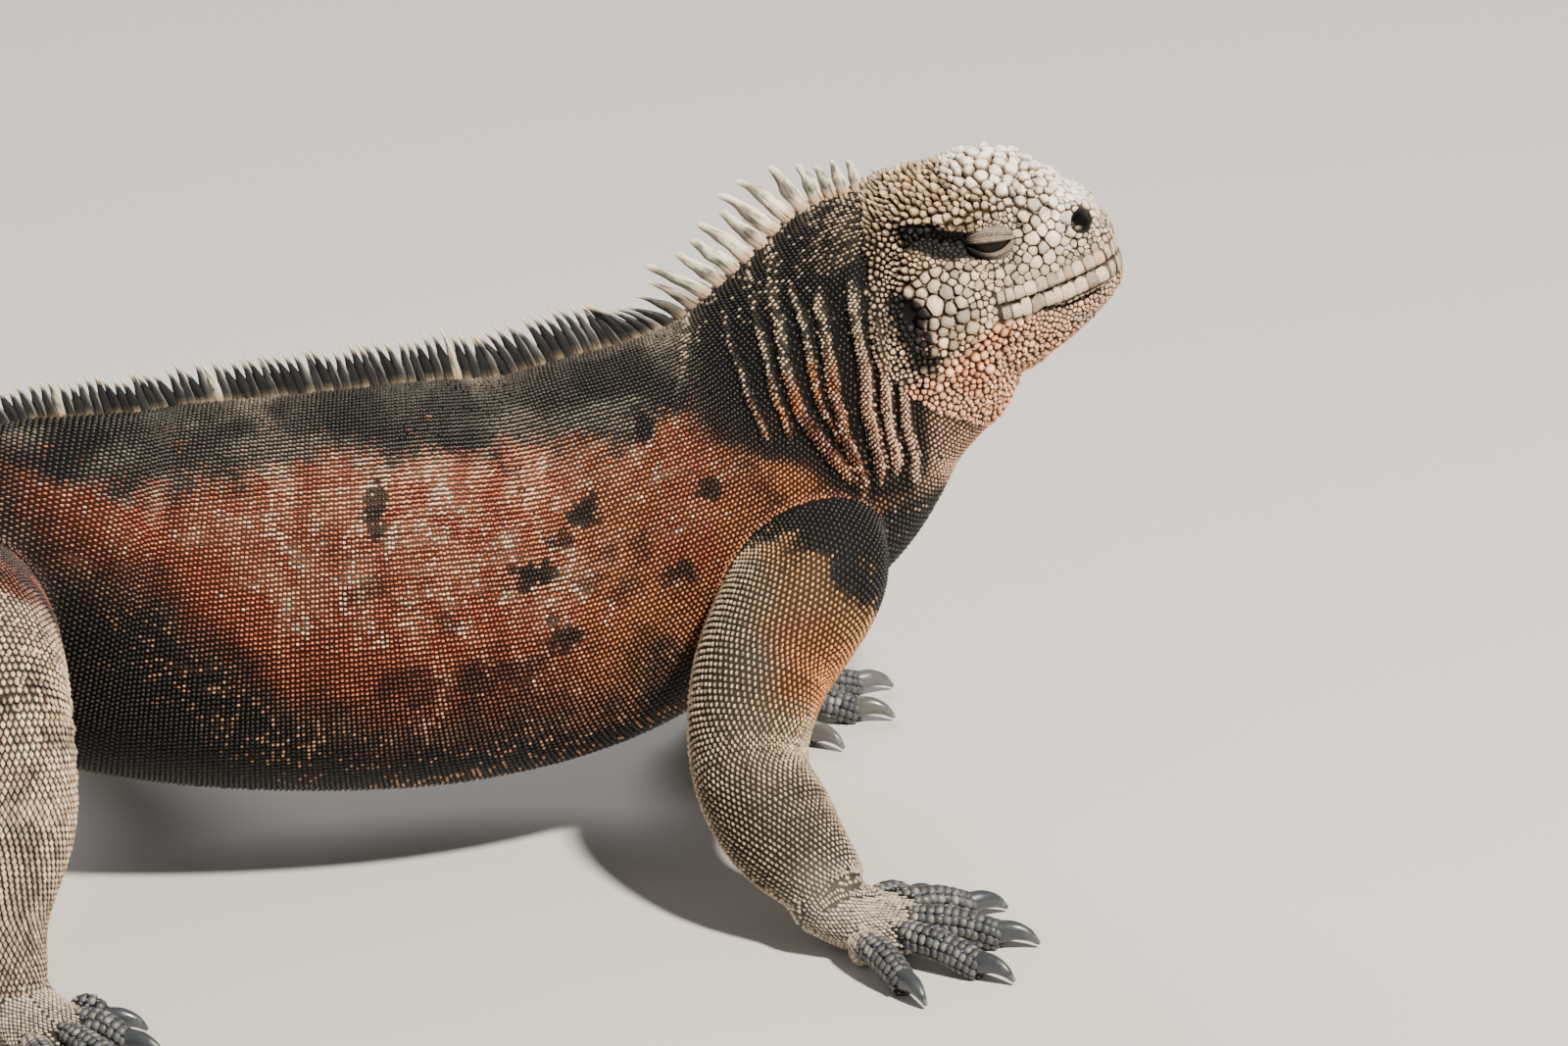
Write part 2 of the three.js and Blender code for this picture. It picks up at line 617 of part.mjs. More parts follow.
for (const limb of LIMBS) {
  const whole = solidOf(limbGeometry(limb.rows)).subtract(trunkGrown);
  const ankle = limb.rows[limb.rows.length - 1].slice(0, 3);
  const bend = frameAt(limb.rows, limb.joint, [1, 0, 0]);
  const bendPoint = bend.row.slice(0, 3);
  const wrist = frameAt(limb.rows, 0.94, [1, 0, 0]);
  const wristPoint = wrist.row.slice(0, 3);
  const part = (solid, point, normal) => keepBeyond(solid, add(point, scale(normal, GAP / 2)), normal);
  const backward = (v) => scale(v, -1);
  const { flesh, claws } = footSolids({ ...limb, ankle });
  const tip = part(whole.add(flesh), wristPoint, wrist.along);
  const name = (piece) => piece + "_" + limb.side;
  addNode(name(limb.upper), "skin", part(whole, bendPoint, backward(bend.along)));
  addNode(name(limb.lower), "skin", part(part(whole, bendPoint, bend.along), wristPoint, backward(wrist.along)));
  addNode(name(limb.end), "skin", tip.subtract(floorBox));
  for (const claw of claws)
    addNode("claw_" + claw.name + "_" + name(limb.end), "claw", claw.solid.subtract(floorBox));
}

// Neck, trunk and tail, parted across the spine and each with its own stretch of the crest
const STRETCHES = [
  { name: "neck", from: 0.852 },
  { name: "torso_front", from: 0.672 },
  { name: "torso_rear", from: 0.475 },
  { name: "tail_base", from: 0.335 },
  { name: "tail_middle", from: 0.215 },
  { name: "tail_rear", from: 0.1 },
  { name: "tail_tip", from: -1 },
];
const spines = crestSpines();
const trunkBody = body.subtract(headRegionGrown);
let ahead = null;
for (const { name, from } of STRETCHES) {
  const cut = frameAt(TRUNK_ROWS, Math.max(from, 0), UP);
  const point = cut.row.slice(0, 3);
  let solid = from >= 0 ? keepBeyond(trunkBody, add(point, scale(cut.along, GAP / 2)), cut.along) : trunkBody;
  const beyond = (p, plane, margin) => dot(add(p, scale(plane.point, -1)), plane.along) > margin;
  const mine = spines.filter(
    ({ root }) =>
      (from < 0 || beyond(root, { point, along: cut.along }, 2.2)) && (!ahead || !beyond(root, ahead, -2.2)),
  );
  if (ahead) solid = keepBeyond(solid, add(ahead.point, scale(ahead.along, -GAP / 2)), scale(ahead.along, -1));
  addNode(name, "skin", unionOf([largest(solid), ...mine.map((s) => s.solid)]).subtract(headRegionGrown));
  ahead = { point, along: cut.along };
}

// Head and lower jaw
const headBare = body.intersect(headRegion);
const headLidded = unionOf([headBare.subtract(jawRegionGrown), ...lids, ...crownTubercles()]).intersect(headRegion);
addNode("head", "skin", headLidded.subtract(unionOf(eyeCuts)));
addNode("lower_jaw", "skin", headBare.intersect(jawRegion));

const MATERIALS = {
  skin: new THREE.MeshStandardMaterial({ color: 0x4a3327, roughness: 0.6, metalness: 0 }),
  claw: new THREE.MeshStandardMaterial({ color: 0x3c3d40, roughness: 0.35, metalness: 0 }),
  eye: new THREE.MeshStandardMaterial({ color: 0x15100c, roughness: 0.1, metalness: 0 }),
};

const iguana = new THREE.Group();
for (const { name, material, solid } of nodes) {
  const mesh = new THREE.Mesh(geometryOf(solid), MATERIALS[material]);
  mesh.name = name;
  iguana.add(mesh);
}

// The origin is the middle of the whole model's footprint, on the floor
const box = new THREE.Box3().setFromObject(iguana);
iguana.position.set(-(box.min.x + box.max.x) / 2, -(box.min.y + box.max.y) / 2, -box.min.z);

export default iguana;
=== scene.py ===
"""A marine iguana, life size, standing with its head raised, as a still model.

The animal's shape is a set of lofts, in millimetres, in the frame of its own solids: +X towards
the snout, +Y to its left, +Z up, x = 0 below the shoulder and z = 0 on the floor. One skin is
made from all of them. Scales, plates, crest spines, lids, eyes and claws are meshes set on it.
"""

import itertools
import math

import bpy
import numpy as np
from mathutils import Matrix, Vector


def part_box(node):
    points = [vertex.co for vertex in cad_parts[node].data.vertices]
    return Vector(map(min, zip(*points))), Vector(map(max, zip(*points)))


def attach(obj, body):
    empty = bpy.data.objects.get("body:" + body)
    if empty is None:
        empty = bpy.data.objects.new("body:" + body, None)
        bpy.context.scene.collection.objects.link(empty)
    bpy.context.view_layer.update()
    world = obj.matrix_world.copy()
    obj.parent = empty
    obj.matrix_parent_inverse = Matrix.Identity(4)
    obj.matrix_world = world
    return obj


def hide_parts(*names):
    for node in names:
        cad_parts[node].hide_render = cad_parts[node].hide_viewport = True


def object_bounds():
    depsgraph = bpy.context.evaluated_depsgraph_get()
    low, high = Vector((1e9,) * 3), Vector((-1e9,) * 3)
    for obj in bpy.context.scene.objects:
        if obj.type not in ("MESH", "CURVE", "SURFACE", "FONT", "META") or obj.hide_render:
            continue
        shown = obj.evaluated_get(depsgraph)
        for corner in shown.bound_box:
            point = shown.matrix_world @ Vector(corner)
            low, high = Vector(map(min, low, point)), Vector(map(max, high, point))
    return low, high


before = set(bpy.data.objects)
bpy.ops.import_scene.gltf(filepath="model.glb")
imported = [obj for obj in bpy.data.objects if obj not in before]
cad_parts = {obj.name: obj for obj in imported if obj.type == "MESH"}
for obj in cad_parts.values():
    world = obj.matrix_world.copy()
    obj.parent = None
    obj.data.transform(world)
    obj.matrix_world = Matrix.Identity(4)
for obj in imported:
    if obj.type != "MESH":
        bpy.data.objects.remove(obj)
CAD_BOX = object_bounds()

MM = 0.001
RNG = np.random.default_rng(20)

# The head's own frame: origin at the corner of the mouth on the midline, x along the mouth line
HEAD_ORIGIN = np.array([60.5, 0, 149.5])
HEAD_PITCH = math.radians(13)
MOUTH_SAG = 1.2
MOUTH_FRONT = 36
EYE_CENTRE = np.array([3.8, 14.2, 16.4])
EYE_RADIUS = 6.4
EYE_TILT = math.radians(-10)
EYE_OPENING = (7.0, 3.9)  # half length and half height of the lids between the plates
LID_RADIUS = 7.55
NOSTRIL = np.array([28.6, 12.2, 13.4])
NOSTRIL_RADIUS = 3.1
EAR = np.array([-21.5, 23.4, 6])
EAR_SIZE = np.array([2.4, 8, 4])
EYE_DEPTH = 9  # how far off the middle the eyes' hollows begin
LIP_BAND = 5.1  # half height of the lips

# Rows of a loft: centre x, y, z, half width, height above and depth below the centre, roundness
# of the upper and of the lower half
TRUNK_ROWS = [
    [-672, 34, 2.6, 1.6, 2.6, 2.9, 2, 2],
    [-625, 45, 5.2, 3.4, 7, 5.7, 1.9, 2],
    [-565, 38, 8.2, 5.6, 11, 8.8, 1.9, 2],
    [-505, 12, 11.2, 8, 15, 11.9, 1.9, 2],
    [-445, -11, 14.4, 10.6, 18.5, 15.1, 1.9, 2],
    [-388, -16, 19, 13.2, 21.5, 19.6, 1.9, 2],
    [-334, -8, 37, 17, 25, 24, 1.9, 2],
    [-288, -1, 64, 22, 28, 29, 1.9, 2],
    [-248, 0, 83, 32, 37, 37, 1.85, 2.1],
    [-212, 0, 82, 42, 48.5, 46, 1.8, 2.2],
    [-175, 0, 73, 51, 59, 46.5, 1.75, 2.3],
    [-135, 0, 67, 56, 65, 45.5, 1.75, 2.3],
    [-95, 0, 66, 55, 67, 45.5, 1.75, 2.3],
    [-60, 0, 73, 49.5, 63, 47, 1.8, 2.2],
    [-30, 0, 88, 42, 56.5, 47.5, 1.85, 2],
    [-2, 0, 108, 36.5, 45.5, 48.5, 1.9, 1.9],
    [20, 0, 130, 32.5, 40, 42.5, 1.95, 1.75],
    [38, 0, 146, 29.5, 38.5, 40, 2, 1.8],
    [54, 0, 159, 22, 27, 29, 2, 2],
]
HEAD_ROWS = [
    [-30, 0, 5, 19, 27, 19, 2, 2],
    [-20, 0, 5, 25, 31.5, 25, 2.1, 2],
    [-8, 0, 5, 25.5, 31, 31, 2.2, 2],
    [4, 0, 5, 22.5, 30.5, 31, 2.3, 1.9],
    [14, 0, 5, 18.8, 27.5, 27, 2.3, 1.9],
    [22, 0, 5, 16, 21.5, 23.5, 2.3, 1.9],
    [29, 0, 5, 13.4, 13.5, 19.5, 2.3, 2],
    [34, 0, 5, 10, 5.5, 15.5, 2.2, 2],
]
ARM_RIGHT_ROWS = [
    [10, -20, 92, 17, 15],
    [6, -38, 82, 21, 18],
    [-9, -56, 62, 18.5, 17],
    [-13.8, -70, 42, 15.8, 15],
    [-6.5, -85, 28, 15.8, 13.5],
    [5, -100, 17, 11.4, 9.6],
]
ARM_LEFT_ROWS = [
    [8, 20, 92, 17, 15],
    [0, 36, 81, 21, 18],
    [-18, 46, 60, 18.5, 17],
    [-34, 52, 42, 16.2, 15],
    [-35, 60, 28, 15.8, 13.5],
    [-27, 66, 17, 11.4, 9.6],
]
LEG_RIGHT_ROWS = [
    [-228, -16, 86, 22, 22],
    [-224, -44, 88, 25, 24],
    [-215, -74, 90, 22, 21],
    [-209, -98, 82, 19.5, 17],
    [-209, -109, 56, 19, 15.5],
    [-212, -117, 32, 13, 11],
    [-212, -122, 17, 11.5, 9.5],
]
LEG_LEFT_ROWS = [
    [-228, 16, 86, 22, 22],
    [-220, 44, 87, 25, 24],
    [-206, 72, 88, 22, 21],
    [-198, 94, 79, 19.5, 17],
    [-204, 103, 54, 19, 15.5],
    [-212, 109, 31, 13, 11],
    [-214, 113, 17, 11.5, 9.5],
]

# Digits: heading from the foot's axis in degrees, length to the claw's tip, radius at the root
HAND_DIGITS = [(54, 39, 4.3), (31, 50, 4.4), (3, 56, 4.3), (-22, 58, 4.3), (-49, 51, 4.2)]
FOOT_DIGITS = [(46, 37, 4.2), (24, 48, 4.3), (3, 61, 4.4), (-18, 74, 4.4), (-62, 46, 4.1)]
CLAW_LENGTH = 12.5


def unit(v):
    """Vectors divided by their own length."""
    return v / np.maximum(np.linalg.norm(v, axis=-1, keepdims=True), 1e-12)


def dot(a, b):
    """The dot product of each pair of rows."""
    return np.einsum("ij,ij->i", a, b)


def level_with(directions, normals):
    """Directions laid at right angles to the normals."""
    return unit(directions - normals * dot(directions, normals)[:, None])


def smooth(x, low, high):
    """0 below low, 1 above high and 3f² - 2f³ between them."""
    f = np.clip((x - low) / (high - low), 0, 1)
    return f * f * (3 - 2 * f)


def bell(x, centre, spread):
    """A bell curve, exp(-((x - centre) / spread)²)."""
    return np.exp(-(((x - centre) / spread) ** 2))


def blend(a, b, share):
    """a where share is 0 and b where it is 1."""
    share = np.asarray(share)[..., None]
    return a * (1 - share) + b * share


def circle(count):
    """Angles evenly spaced round a circle."""
    return np.arange(count) * 2 * np.pi / count


def cube_noise(place, seed):
    """Random numbers at the corners of unit cubes, blended by 3f² - 2f³ between them."""
    cell = np.floor(place).astype(np.int64)
    f = place - cell
    f = f * f * (3 - 2 * f)
    total = 0
    for corner in itertools.product((0, 1), repeat=3):
        key = (cell + corner) @ np.array([73856093, 19349663, 83492791]) + seed * 40503
        key = (key ^ (key >> 13)) * 1540483477 & 0x7FFFFFFF
        value = ((key ^ (key >> 15)) & 0xFFFF) / 0xFFFF
        total = total + value * np.prod(np.where(corner, f, 1 - f), axis=-1)
    return total


# A turn about a slant axis, so that the noise's cubes don't line up with the body
SLANT = np.array([[0.36, 0.48, -0.8], [-0.8, 0.6, 0.0], [0.48, 0.64, 0.6]])


def speckle(points, size, seed):
    """Noise from about 0 to 1 with lumps of that size: three octaves, each turned, half as
    large and weighted 1, 1/2 and 1/4, then spread about 1/2."""
    place = points / size
    total = 0
    for octave, weight in enumerate((4, 2, 1)):
        place = place @ SLANT
        total = total + weight * cube_noise(place * 2**octave, seed + 100 * octave)
    return 0.5 + 1.5 * (total / 7 - 0.5)


def head_to_body(points):
    """Turns points of the head's frame up by the head's pitch and moves them to its origin."""
    c, s = math.cos(HEAD_PITCH), math.sin(HEAD_PITCH)
    x, y, z = np.moveaxis(np.asarray(points, float), -1, 0)
    return np.stack([x * c - z * s, y, x * s + z * c], -1) + HEAD_ORIGIN


def body_to_head(points):
    """The way back from the body's frame to the head's."""
    c, s = math.cos(HEAD_PITCH), math.sin(HEAD_PITCH)
    x, y, z = np.moveaxis(np.asarray(points, float) - HEAD_ORIGIN, -1, 0)
    return np.stack([x * c + z * s, y, z * c - x * s], -1)


def turned_to_body(directions):
    """Directions of the head's frame in the body's frame."""
    return head_to_body(directions) - HEAD_ORIGIN


def one_side(points):
    """Points of the head's frame with those of its right half mirrored to the left."""
    return points * [1, 0, 1] + np.abs(points) * [0, 1, 0]


# From the animal's frame to the part's frame, found from the left eye's box
SHIFT = (np.mean(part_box("eye_left"), axis=0) - head_to_body(EYE_CENTRE) * MM) * [1, 1, 0]


def mouth_height(x):
    """The mouth line in the head's frame: it sags by a sine between its corner and the snout."""
    return -MOUTH_SAG * np.sin(np.pi * np.clip(x, 0, MOUTH_FRONT) / MOUTH_FRONT)


class Tube:
    """A loft: a superelliptic section carried along a spline through rows.

    The section at angle a is (width·c^(2/n), height·s^(2/n)), with c and s the signed cosine
    and sine of a, n the roundness, and height the row's height above or depth below.
    """

    def __init__(self, rows, reference=(0, 0, 1)):
        rows = np.array(rows, float)
        if rows.shape[1] == 5:
            x, y, z, wide, thick = rows.T
            rows = np.stack([x, y, z, thick, wide, wide], 1)
        if rows.shape[1] == 6:
            rows = np.hstack([rows, np.full((len(rows), 2), 2.0)])
        self.rows = rows
        self.reference = np.array(reference, float)
        self.samples = np.linspace(0, 1, 12 * len(rows))
        self.axis = self.row(self.samples)[:, :3]

    def row(self, t):
        """Uniform Catmull-Rom: p1 + f(p2-p0)/2 + f²(p0-5p1/2+2p2-p3/2) + f³(3p1-3p2+p3-p0)/2."""
        rows = self.rows
        padded = np.vstack([2 * rows[:1] - rows[1:2], rows, 2 * rows[-1:] - rows[-2:-1]])
        place = np.clip(t, 0, 1) * (len(rows) - 1)
        i = np.minimum(place.astype(int), len(rows) - 2)
        f = (place - i)[..., None]
        p0, p1, p2, p3 = (padded[i + k] for k in range(4))
        return (
            p1
            + 0.5 * f * (p2 - p0)
            + f**2 * (p0 - 2.5 * p1 + 2 * p2 - 0.5 * p3)
            + f**3 * (1.5 * (p1 - p2) + 0.5 * (p3 - p0))
        )

    def frame(self, t):
        """Row, direction along, direction up (nearest the reference) and sideways at t."""
        step = 0.004
        along = unit(self.row(t + step)[..., :3] - self.row(t - step)[..., :3])
        up = unit(self.reference - along * (along @ self.reference)[..., None])
        return self.row(t), along, up, np.cross(up, along)

    def point(self, t, angle, size=1, grow=0):
        """The surface's point at t and at an angle from the side towards the top."""
        row, _, up, side = self.frame(t)
        c, s = np.cos(angle), np.sin(angle)
        over = s >= 0
        power = 2 / np.where(over, row[..., 6], row[..., 7])
        across = (row[..., 3] + grow) * np.sign(c) * np.abs(c) ** power * size
        rise = (np.where(over, row[..., 4], row[..., 5]) + grow) * np.sign(s) * np.abs(s) ** power
        return row[..., :3] + side * across[..., None] + up * (rise * size)[..., None]

    def grid(self, rings, columns, caps, cap_rings=5):
        """A closed mesh of the loft with a half ellipsoid of the given depth at each end."""
        lean = np.linspace(0, np.pi / 2, cap_rings + 2)[1:-1]
        t = np.concatenate([np.zeros(cap_rings), np.linspace(0, 1, rings + 1), np.ones(cap_rings)])
        full = np.ones(rings + 1)
        size = np.concatenate([np.sin(lean), full, np.sin(lean[::-1])])
        back = np.concatenate([-caps[0] * np.cos(lean), full * 0, caps[1] * np.cos(lean[::-1])])
        tt, aa = np.meshgrid(t, circle(columns), indexing="ij")
        along = self.frame(t)[1][:, None, :]
        points = self.point(tt, aa, size[:, None]) + along * back[:, None, None]
        first, last = self.frame(np.array([0.0, 1.0]))[:2]
        ends = first[:, :3] + last * np.array([[-caps[0]], [caps[1]]])
        return points, ends

    def locate(self, points):
        """For each point: t of the nearest place on the axis, and the level there, which is
        (|across/width|^n + |rise/height|^n)^(1/n), below 1 inside the loft."""
        t = np.empty(len(points))
        for chunk in np.array_split(np.arange(len(points)), max(1, len(points) // 20000)):
            gaps = points[chunk, None, :] - self.axis[None]
            t[chunk] = np.argmin(np.einsum("ijk,ijk->ij", gaps, gaps), 1)
        i = np.clip(t.astype(int), 1, len(self.axis) - 2)
        step = (self.axis[i + 1] - self.axis[i - 1]) / 2
        slide = dot(points - self.axis[i], step) / dot(step, step)
        raw = (i + np.clip(slide, -1.5, 1.5)) / (len(self.axis) - 1)
        t = np.clip(raw, 0, 1)
        row, along, up, side = self.frame(t)
        offset = points - row[:, :3]
        across = dot(offset, side)
        rise = dot(offset, up)
        over = rise >= 0
        n = np.where(over, row[:, 6], row[:, 7])
        height = np.where(over, row[:, 4], row[:, 5])
        level = (np.abs(across / row[:, 3]) ** n + np.abs(rise / height) ** n) ** (1 / n)
        beyond = np.abs(dot(offset, along))
        level = np.where((raw < 0) | (raw > 1), np.hypot(level, beyond / row[:, 3] * 1.3), level)
        return t, np.arctan2(rise / height, across / row[:, 3]), level


def closed_triangles(rings, columns):
    """Triangles of a grid of rings joined round, with a pole after each end of it."""
    i, k = np.meshgrid(np.arange(rings - 1), np.arange(columns), indexing="ij")
    a, b = i * columns + k, i * columns + (k + 1) % columns
    walls = [np.stack([a, b, b + columns], -1), np.stack([a, b + columns, a + columns], -1)]
    k = np.arange(columns)
    low, high = rings * columns, rings * columns + 1
    top = (rings - 1) * columns
    fans = [
        np.stack([np.full(columns, low), (k + 1) % columns, k], -1),
        np.stack([top + k, top + (k + 1) % columns, np.full(columns, high)], -1),
    ]
    return np.concatenate([part.reshape(-1, 3) for part in walls + fans])


def outwards(points, triangles):
    """The triangles, turned over if the closed mesh's volume comes out negative."""
    a, b, c = (points[triangles[:, k]] for k in range(3))
    volume = dot(a, np.cross(b, c)).sum()
    return triangles if volume > 0 else triangles[:, ::-1]


def capped(grid, ends):
    """Points and outward triangles of a closed grid with its two poles."""
    points = np.concatenate([grid.reshape(-1, 3), ends])
    return points, outwards(points, closed_triangles(grid.shape[0], grid.shape[1]))


def joined(meshes):
    """Several (points, triangles) as one."""
    sizes = np.cumsum([0] + [len(p) for p, _ in meshes])
    return (
        np.concatenate([p for p, _ in meshes]),
        np.concatenate([t + n for (_, t), n in zip(meshes, sizes)]),
    )


def copies(faces, number, corners):
    """Faces of one shape repeated for a number of shapes of that many corners each."""
    return (faces[None] + (np.arange(number) * corners)[:, None, None]).reshape(-1, 3)


def new_object(name, points, triangles, material=None):
    """A mesh object from points in the animal's millimetres and their triangles."""
    mesh = bpy.data.meshes.new(name)
    mesh.vertices.add(len(points))
    mesh.vertices.foreach_set("co", (points * MM + SHIFT).astype(np.float32).ravel())
    mesh.loops.add(triangles.size)
    mesh.loops.foreach_set("vertex_index", triangles.astype(np.int32).ravel())
    mesh.polygons.add(len(triangles))
    mesh.polygons.foreach_set("loop_start", np.arange(0, triangles.size, 3, dtype=np.int32))
    mesh.polygons.foreach_set("use_smooth", np.full(len(triangles), True))
    mesh.update(calc_edges=True)
    mesh.validate()
    obj = bpy.data.objects.new(name, mesh)
    bpy.context.collection.objects.link(obj)
    if material:
        mesh.materials.append(material)
    return obj


def write_float(obj, name, values):
    """A number for each vertex, as an attribute."""
    layer = obj.data.attributes.new(name, "FLOAT", "POINT")
    layer.data.foreach_set("value", np.asarray(values, np.float32).ravel())


def write_colour(obj, name, values):
    """A colour for each vertex, as an attribute."""
    rgba = np.concatenate([values, np.ones((len(values), 1))], 1)
    layer = obj.data.attributes.new(name, "FLOAT_COLOR", "POINT")
    layer.data.foreach_set("color", rgba.astype(np.float32).ravel())


def read_points(obj):
    """The vertices of an object with its modifiers, in the animal's millimetres."""
    evaluated = obj.evaluated_get(bpy.context.evaluated_depsgraph_get())
    mesh = evaluated.to_mesh()
    flat = np.empty(3 * len(mesh.vertices), np.float32)
    mesh.vertices.foreach_get("co", flat)
    normals = np.empty(3 * len(mesh.vertices), np.float32)
    mesh.vertex_normals.foreach_get("vector", normals)
    evaluated.to_mesh_clear()
    return (flat.reshape(-1, 3).astype(float) - SHIFT) / MM, normals.reshape(-1, 3).astype(float)


def apply_modifiers(obj):
    """Replaces an object's mesh by what its modifiers make of it."""
    graph = bpy.context.evaluated_depsgraph_get()
    mesh = bpy.data.meshes.new_from_object(obj.evaluated_get(graph), depsgraph=graph)
    old = obj.data
    obj.modifiers.clear()
    obj.data = mesh
    bpy.data.meshes.remove(old)


# The lofts

TRUNK = Tube(TRUNK_ROWS)
HEAD = Tube(HEAD_ROWS)
ARMS = {"right": Tube(ARM_RIGHT_ROWS, (1, 0, 0)), "left": Tube(ARM_LEFT_ROWS, (1, 0, 0))}
LEGS = {"right": Tube(LEG_RIGHT_ROWS, (1, 0, 0)), "left": Tube(LEG_LEFT_ROWS, (1, 0, 0))}


class Foot:
    """A hand or foot: the lofts of its palm, its digits and its claws."""

    def __init__(self, limb, heading, hand, digits, palm_length, palm_width):
        ankle = limb.rows[-1, :3]
        turn = math.radians(heading)
        forward = np.array([math.cos(turn), math.sin(turn)])

        def ahead(distance, height):
            """A place on the palm's axis."""
            return [*(ankle[:2] + forward * distance), height]

        low = ankle[2] * 0.55
        self.palm = Tube([
            [*ahead(-4, ankle[2] - 2), 11, 9, 10],
            [*ahead(palm_length * 0.45, low), palm_width * 0.42, 6.5, low + 0.4],
            [*ahead(palm_length, 6.4), palm_width * 0.5, 4.6, 6.8],
        ])
        self.digits, self.claws = [], []
        for aside, length, radius in digits:
            angle = turn + math.radians(aside * hand)
            outward = np.array([math.cos(angle), math.sin(angle)])
            start = palm_length * 0.78
            toe = length - CLAW_LENGTH

            def place(distance, height):
                """A place on the digit's axis."""
                return [*(ankle[:2] + outward * distance), height]

            reach = toe - start
            self.digits.append(Tube([
                [*place(start, 7), radius, radius, 7.4],
                [*place(start + reach * 0.35, radius + 3.4), radius, radius, radius],
                [*place(start + reach * 0.7, radius + 2.4), radius * 0.95, radius, radius],
                [*place(toe, radius * 0.9), radius * 0.85, radius, radius * 1.08],
            ]))
            nail = toe + 0.6
            self.claws.append(Tube([
                [*place(nail - 2.5, 4.1), 2.9, 3.5, 3.1],
                [*place(nail + 1.5, 4.6), 2.7, 3.3, 2.9],
                [*place(nail + 5, 4.9), 2.2, 2.7, 2.5],
                [*place(nail + 8.6, 3.8), 1.5, 1.8, 1.8],
                [*place(nail + 11.4, 1.5), 0.5, 0.6, 0.6],
            ]))


FEET = {
    "hand_right": Foot(ARMS["right"], -14, 1, HAND_DIGITS, 20, 30),
    "hand_left": Foot(ARMS["left"], -6, -1, HAND_DIGITS, 20, 30),
    "foot_right": Foot(LEGS["right"], -52, 1, FOOT_DIGITS, 24, 27),
    "foot_left": Foot(LEGS["left"], 42, -1, FOOT_DIGITS, 24, 27),
}

# Every loft of flesh. Its number here is its region: trunk 0, head 1, arms 2 and 3, legs 4 and 5,
# then the palm and digits of each foot
ALL_LOFTS = [TRUNK, HEAD, *ARMS.values(), *LEGS.values()]
for foot in FEET.values():
    ALL_LOFTS += [foot.palm, *foot.digits]

TEMPLE_LINE = (17.9, -0.42)  # height and slope of the hollow behind the eye
HEAD_PITS = [(14.3, 27.2, 1.6, 1.5), (20, 26.6, 1.3, 1.2), (12.7, 19, 1.2, 2.0), (20.3, 19.8, 2.2, 1.1)]
LIP_GROOVE = ((6, 9, 14, 20, 25, 31), (-1.5, -4, -6.9, -8.3, -7.9, -7.4))  # below the lower lip

# Bulges and hollows of the head, on both sides: centre, spread along x, y and z, height
HEAD_BULGES = [
    ((3, 18, 25), (11, 5, 3.2), 3.6),  # brow ridge
    ((16, 14.5, 20.5), (6, 5, 3.2), 1.4),  # ridge from brow to snout
    ((4, 21.5, 15.5), (8, 5, 5.5), -0.6),  # eye socket
    ((-4.5, 22, 20), (5.5, 6, 3.2), -2.4),  # temple, at the eye
    ((-13, 22, 23.3), (6, 6, 3.2), -2.8),  # temple, further back
    ((-12, 24, 2), (8, 7, 8), 2.2),  # jaw muscle
    ((28, 11, 12.5), (5, 6, 5), 1.2),  # swelling round the nostril
    ((37, 0, -3.5), (5, 9, 3.6), 0.6),  # tip of the lower lip
    ((9, 18, 6.5), (12, 8, 2.6), -0.9),  # hollow above the upper lip
    ((-22.5, 25, 5), (5, 5, 8), -2.2),  # hollow of the ear
]
LIPS = [(2.15, 34.1, 2.2), (-2.35, 34.5, 2.5)]  # offset from the mouth line, front, thickness


def eye_offsets(side_points):
    """Offsets from the eye's centre along its slit and upwards, for points of the head's frame."""
    c, s = math.cos(EYE_TILT), math.sin(EYE_TILT)
    x, _, z = np.moveaxis(side_points - EYE_CENTRE, -1, 0)
    return x * c + z * s, z * c - x * s


def on_eye(side_points, margin):
    """Whether points lie over the lids, within an ellipse along the slit plus a margin."""
    along, up = eye_offsets(side_points)
    return (along / (EYE_OPENING[0] + margin)) ** 2 + (up / (EYE_OPENING[1] + margin)) ** 2 < 1


def head_relief(points):
    """Sum of the bulges: height · exp(-|(p - centre) / spread|²), the same on both sides."""
    p = one_side(points)
    total = np.zeros(points.shape[:-1])
    for centre, spread, height in HEAD_BULGES:
        total += height * np.exp(-(((p - centre) / spread) ** 2).sum(-1))
    return total


def head_half_width(x, z):
    """Half width of the head at a place along it and a height, from its section's formula."""
    t = np.interp(x, HEAD.row(HEAD.samples)[:, 0], HEAD.samples)
    row = HEAD.row(t)
    over = z > row[..., 2]
    n = np.where(over, row[..., 6], row[..., 7])
    rise = np.abs(z - row[..., 2]) / np.where(over, row[..., 4], row[..., 5])
    return row[..., 3] * np.maximum(0, 1 - rise**n) ** (1 / n)


def lip_tube(offset, front, thickness):
    """A ridge from one corner of the mouth round the snout to the other."""
    x = np.array([1, 8, 15, 22, 28, 32.5])
    z = mouth_height(x) + offset
    swell = thickness * np.where(x < 5, 0.6, 1)
    y = head_half_width(x, z) - 0.5
    half = np.stack([x, y, z, swell * 0.6, swell * 1.15, swell * 1.15], 1)
    tip = [[front, 0, mouth_height(front) + offset, thickness * 0.8, thickness, thickness]]
    return Tube(np.concatenate([half, tip, (half * [1, -1, 1, 1, 1, 1])[::-1]]))


def normals_of(grid):
    """Unit normals of a grid of points that closes round its second index."""
    along = np.gradient(grid, axis=0)
    around = np.roll(grid, -1, 1) - np.roll(grid, 1, 1)
    facing = unit(np.cross(around, along))
    centre = grid.mean(1, keepdims=True)
    return facing * np.sign(np.einsum("ijk,ijk->ij", facing, grid - centre).mean())


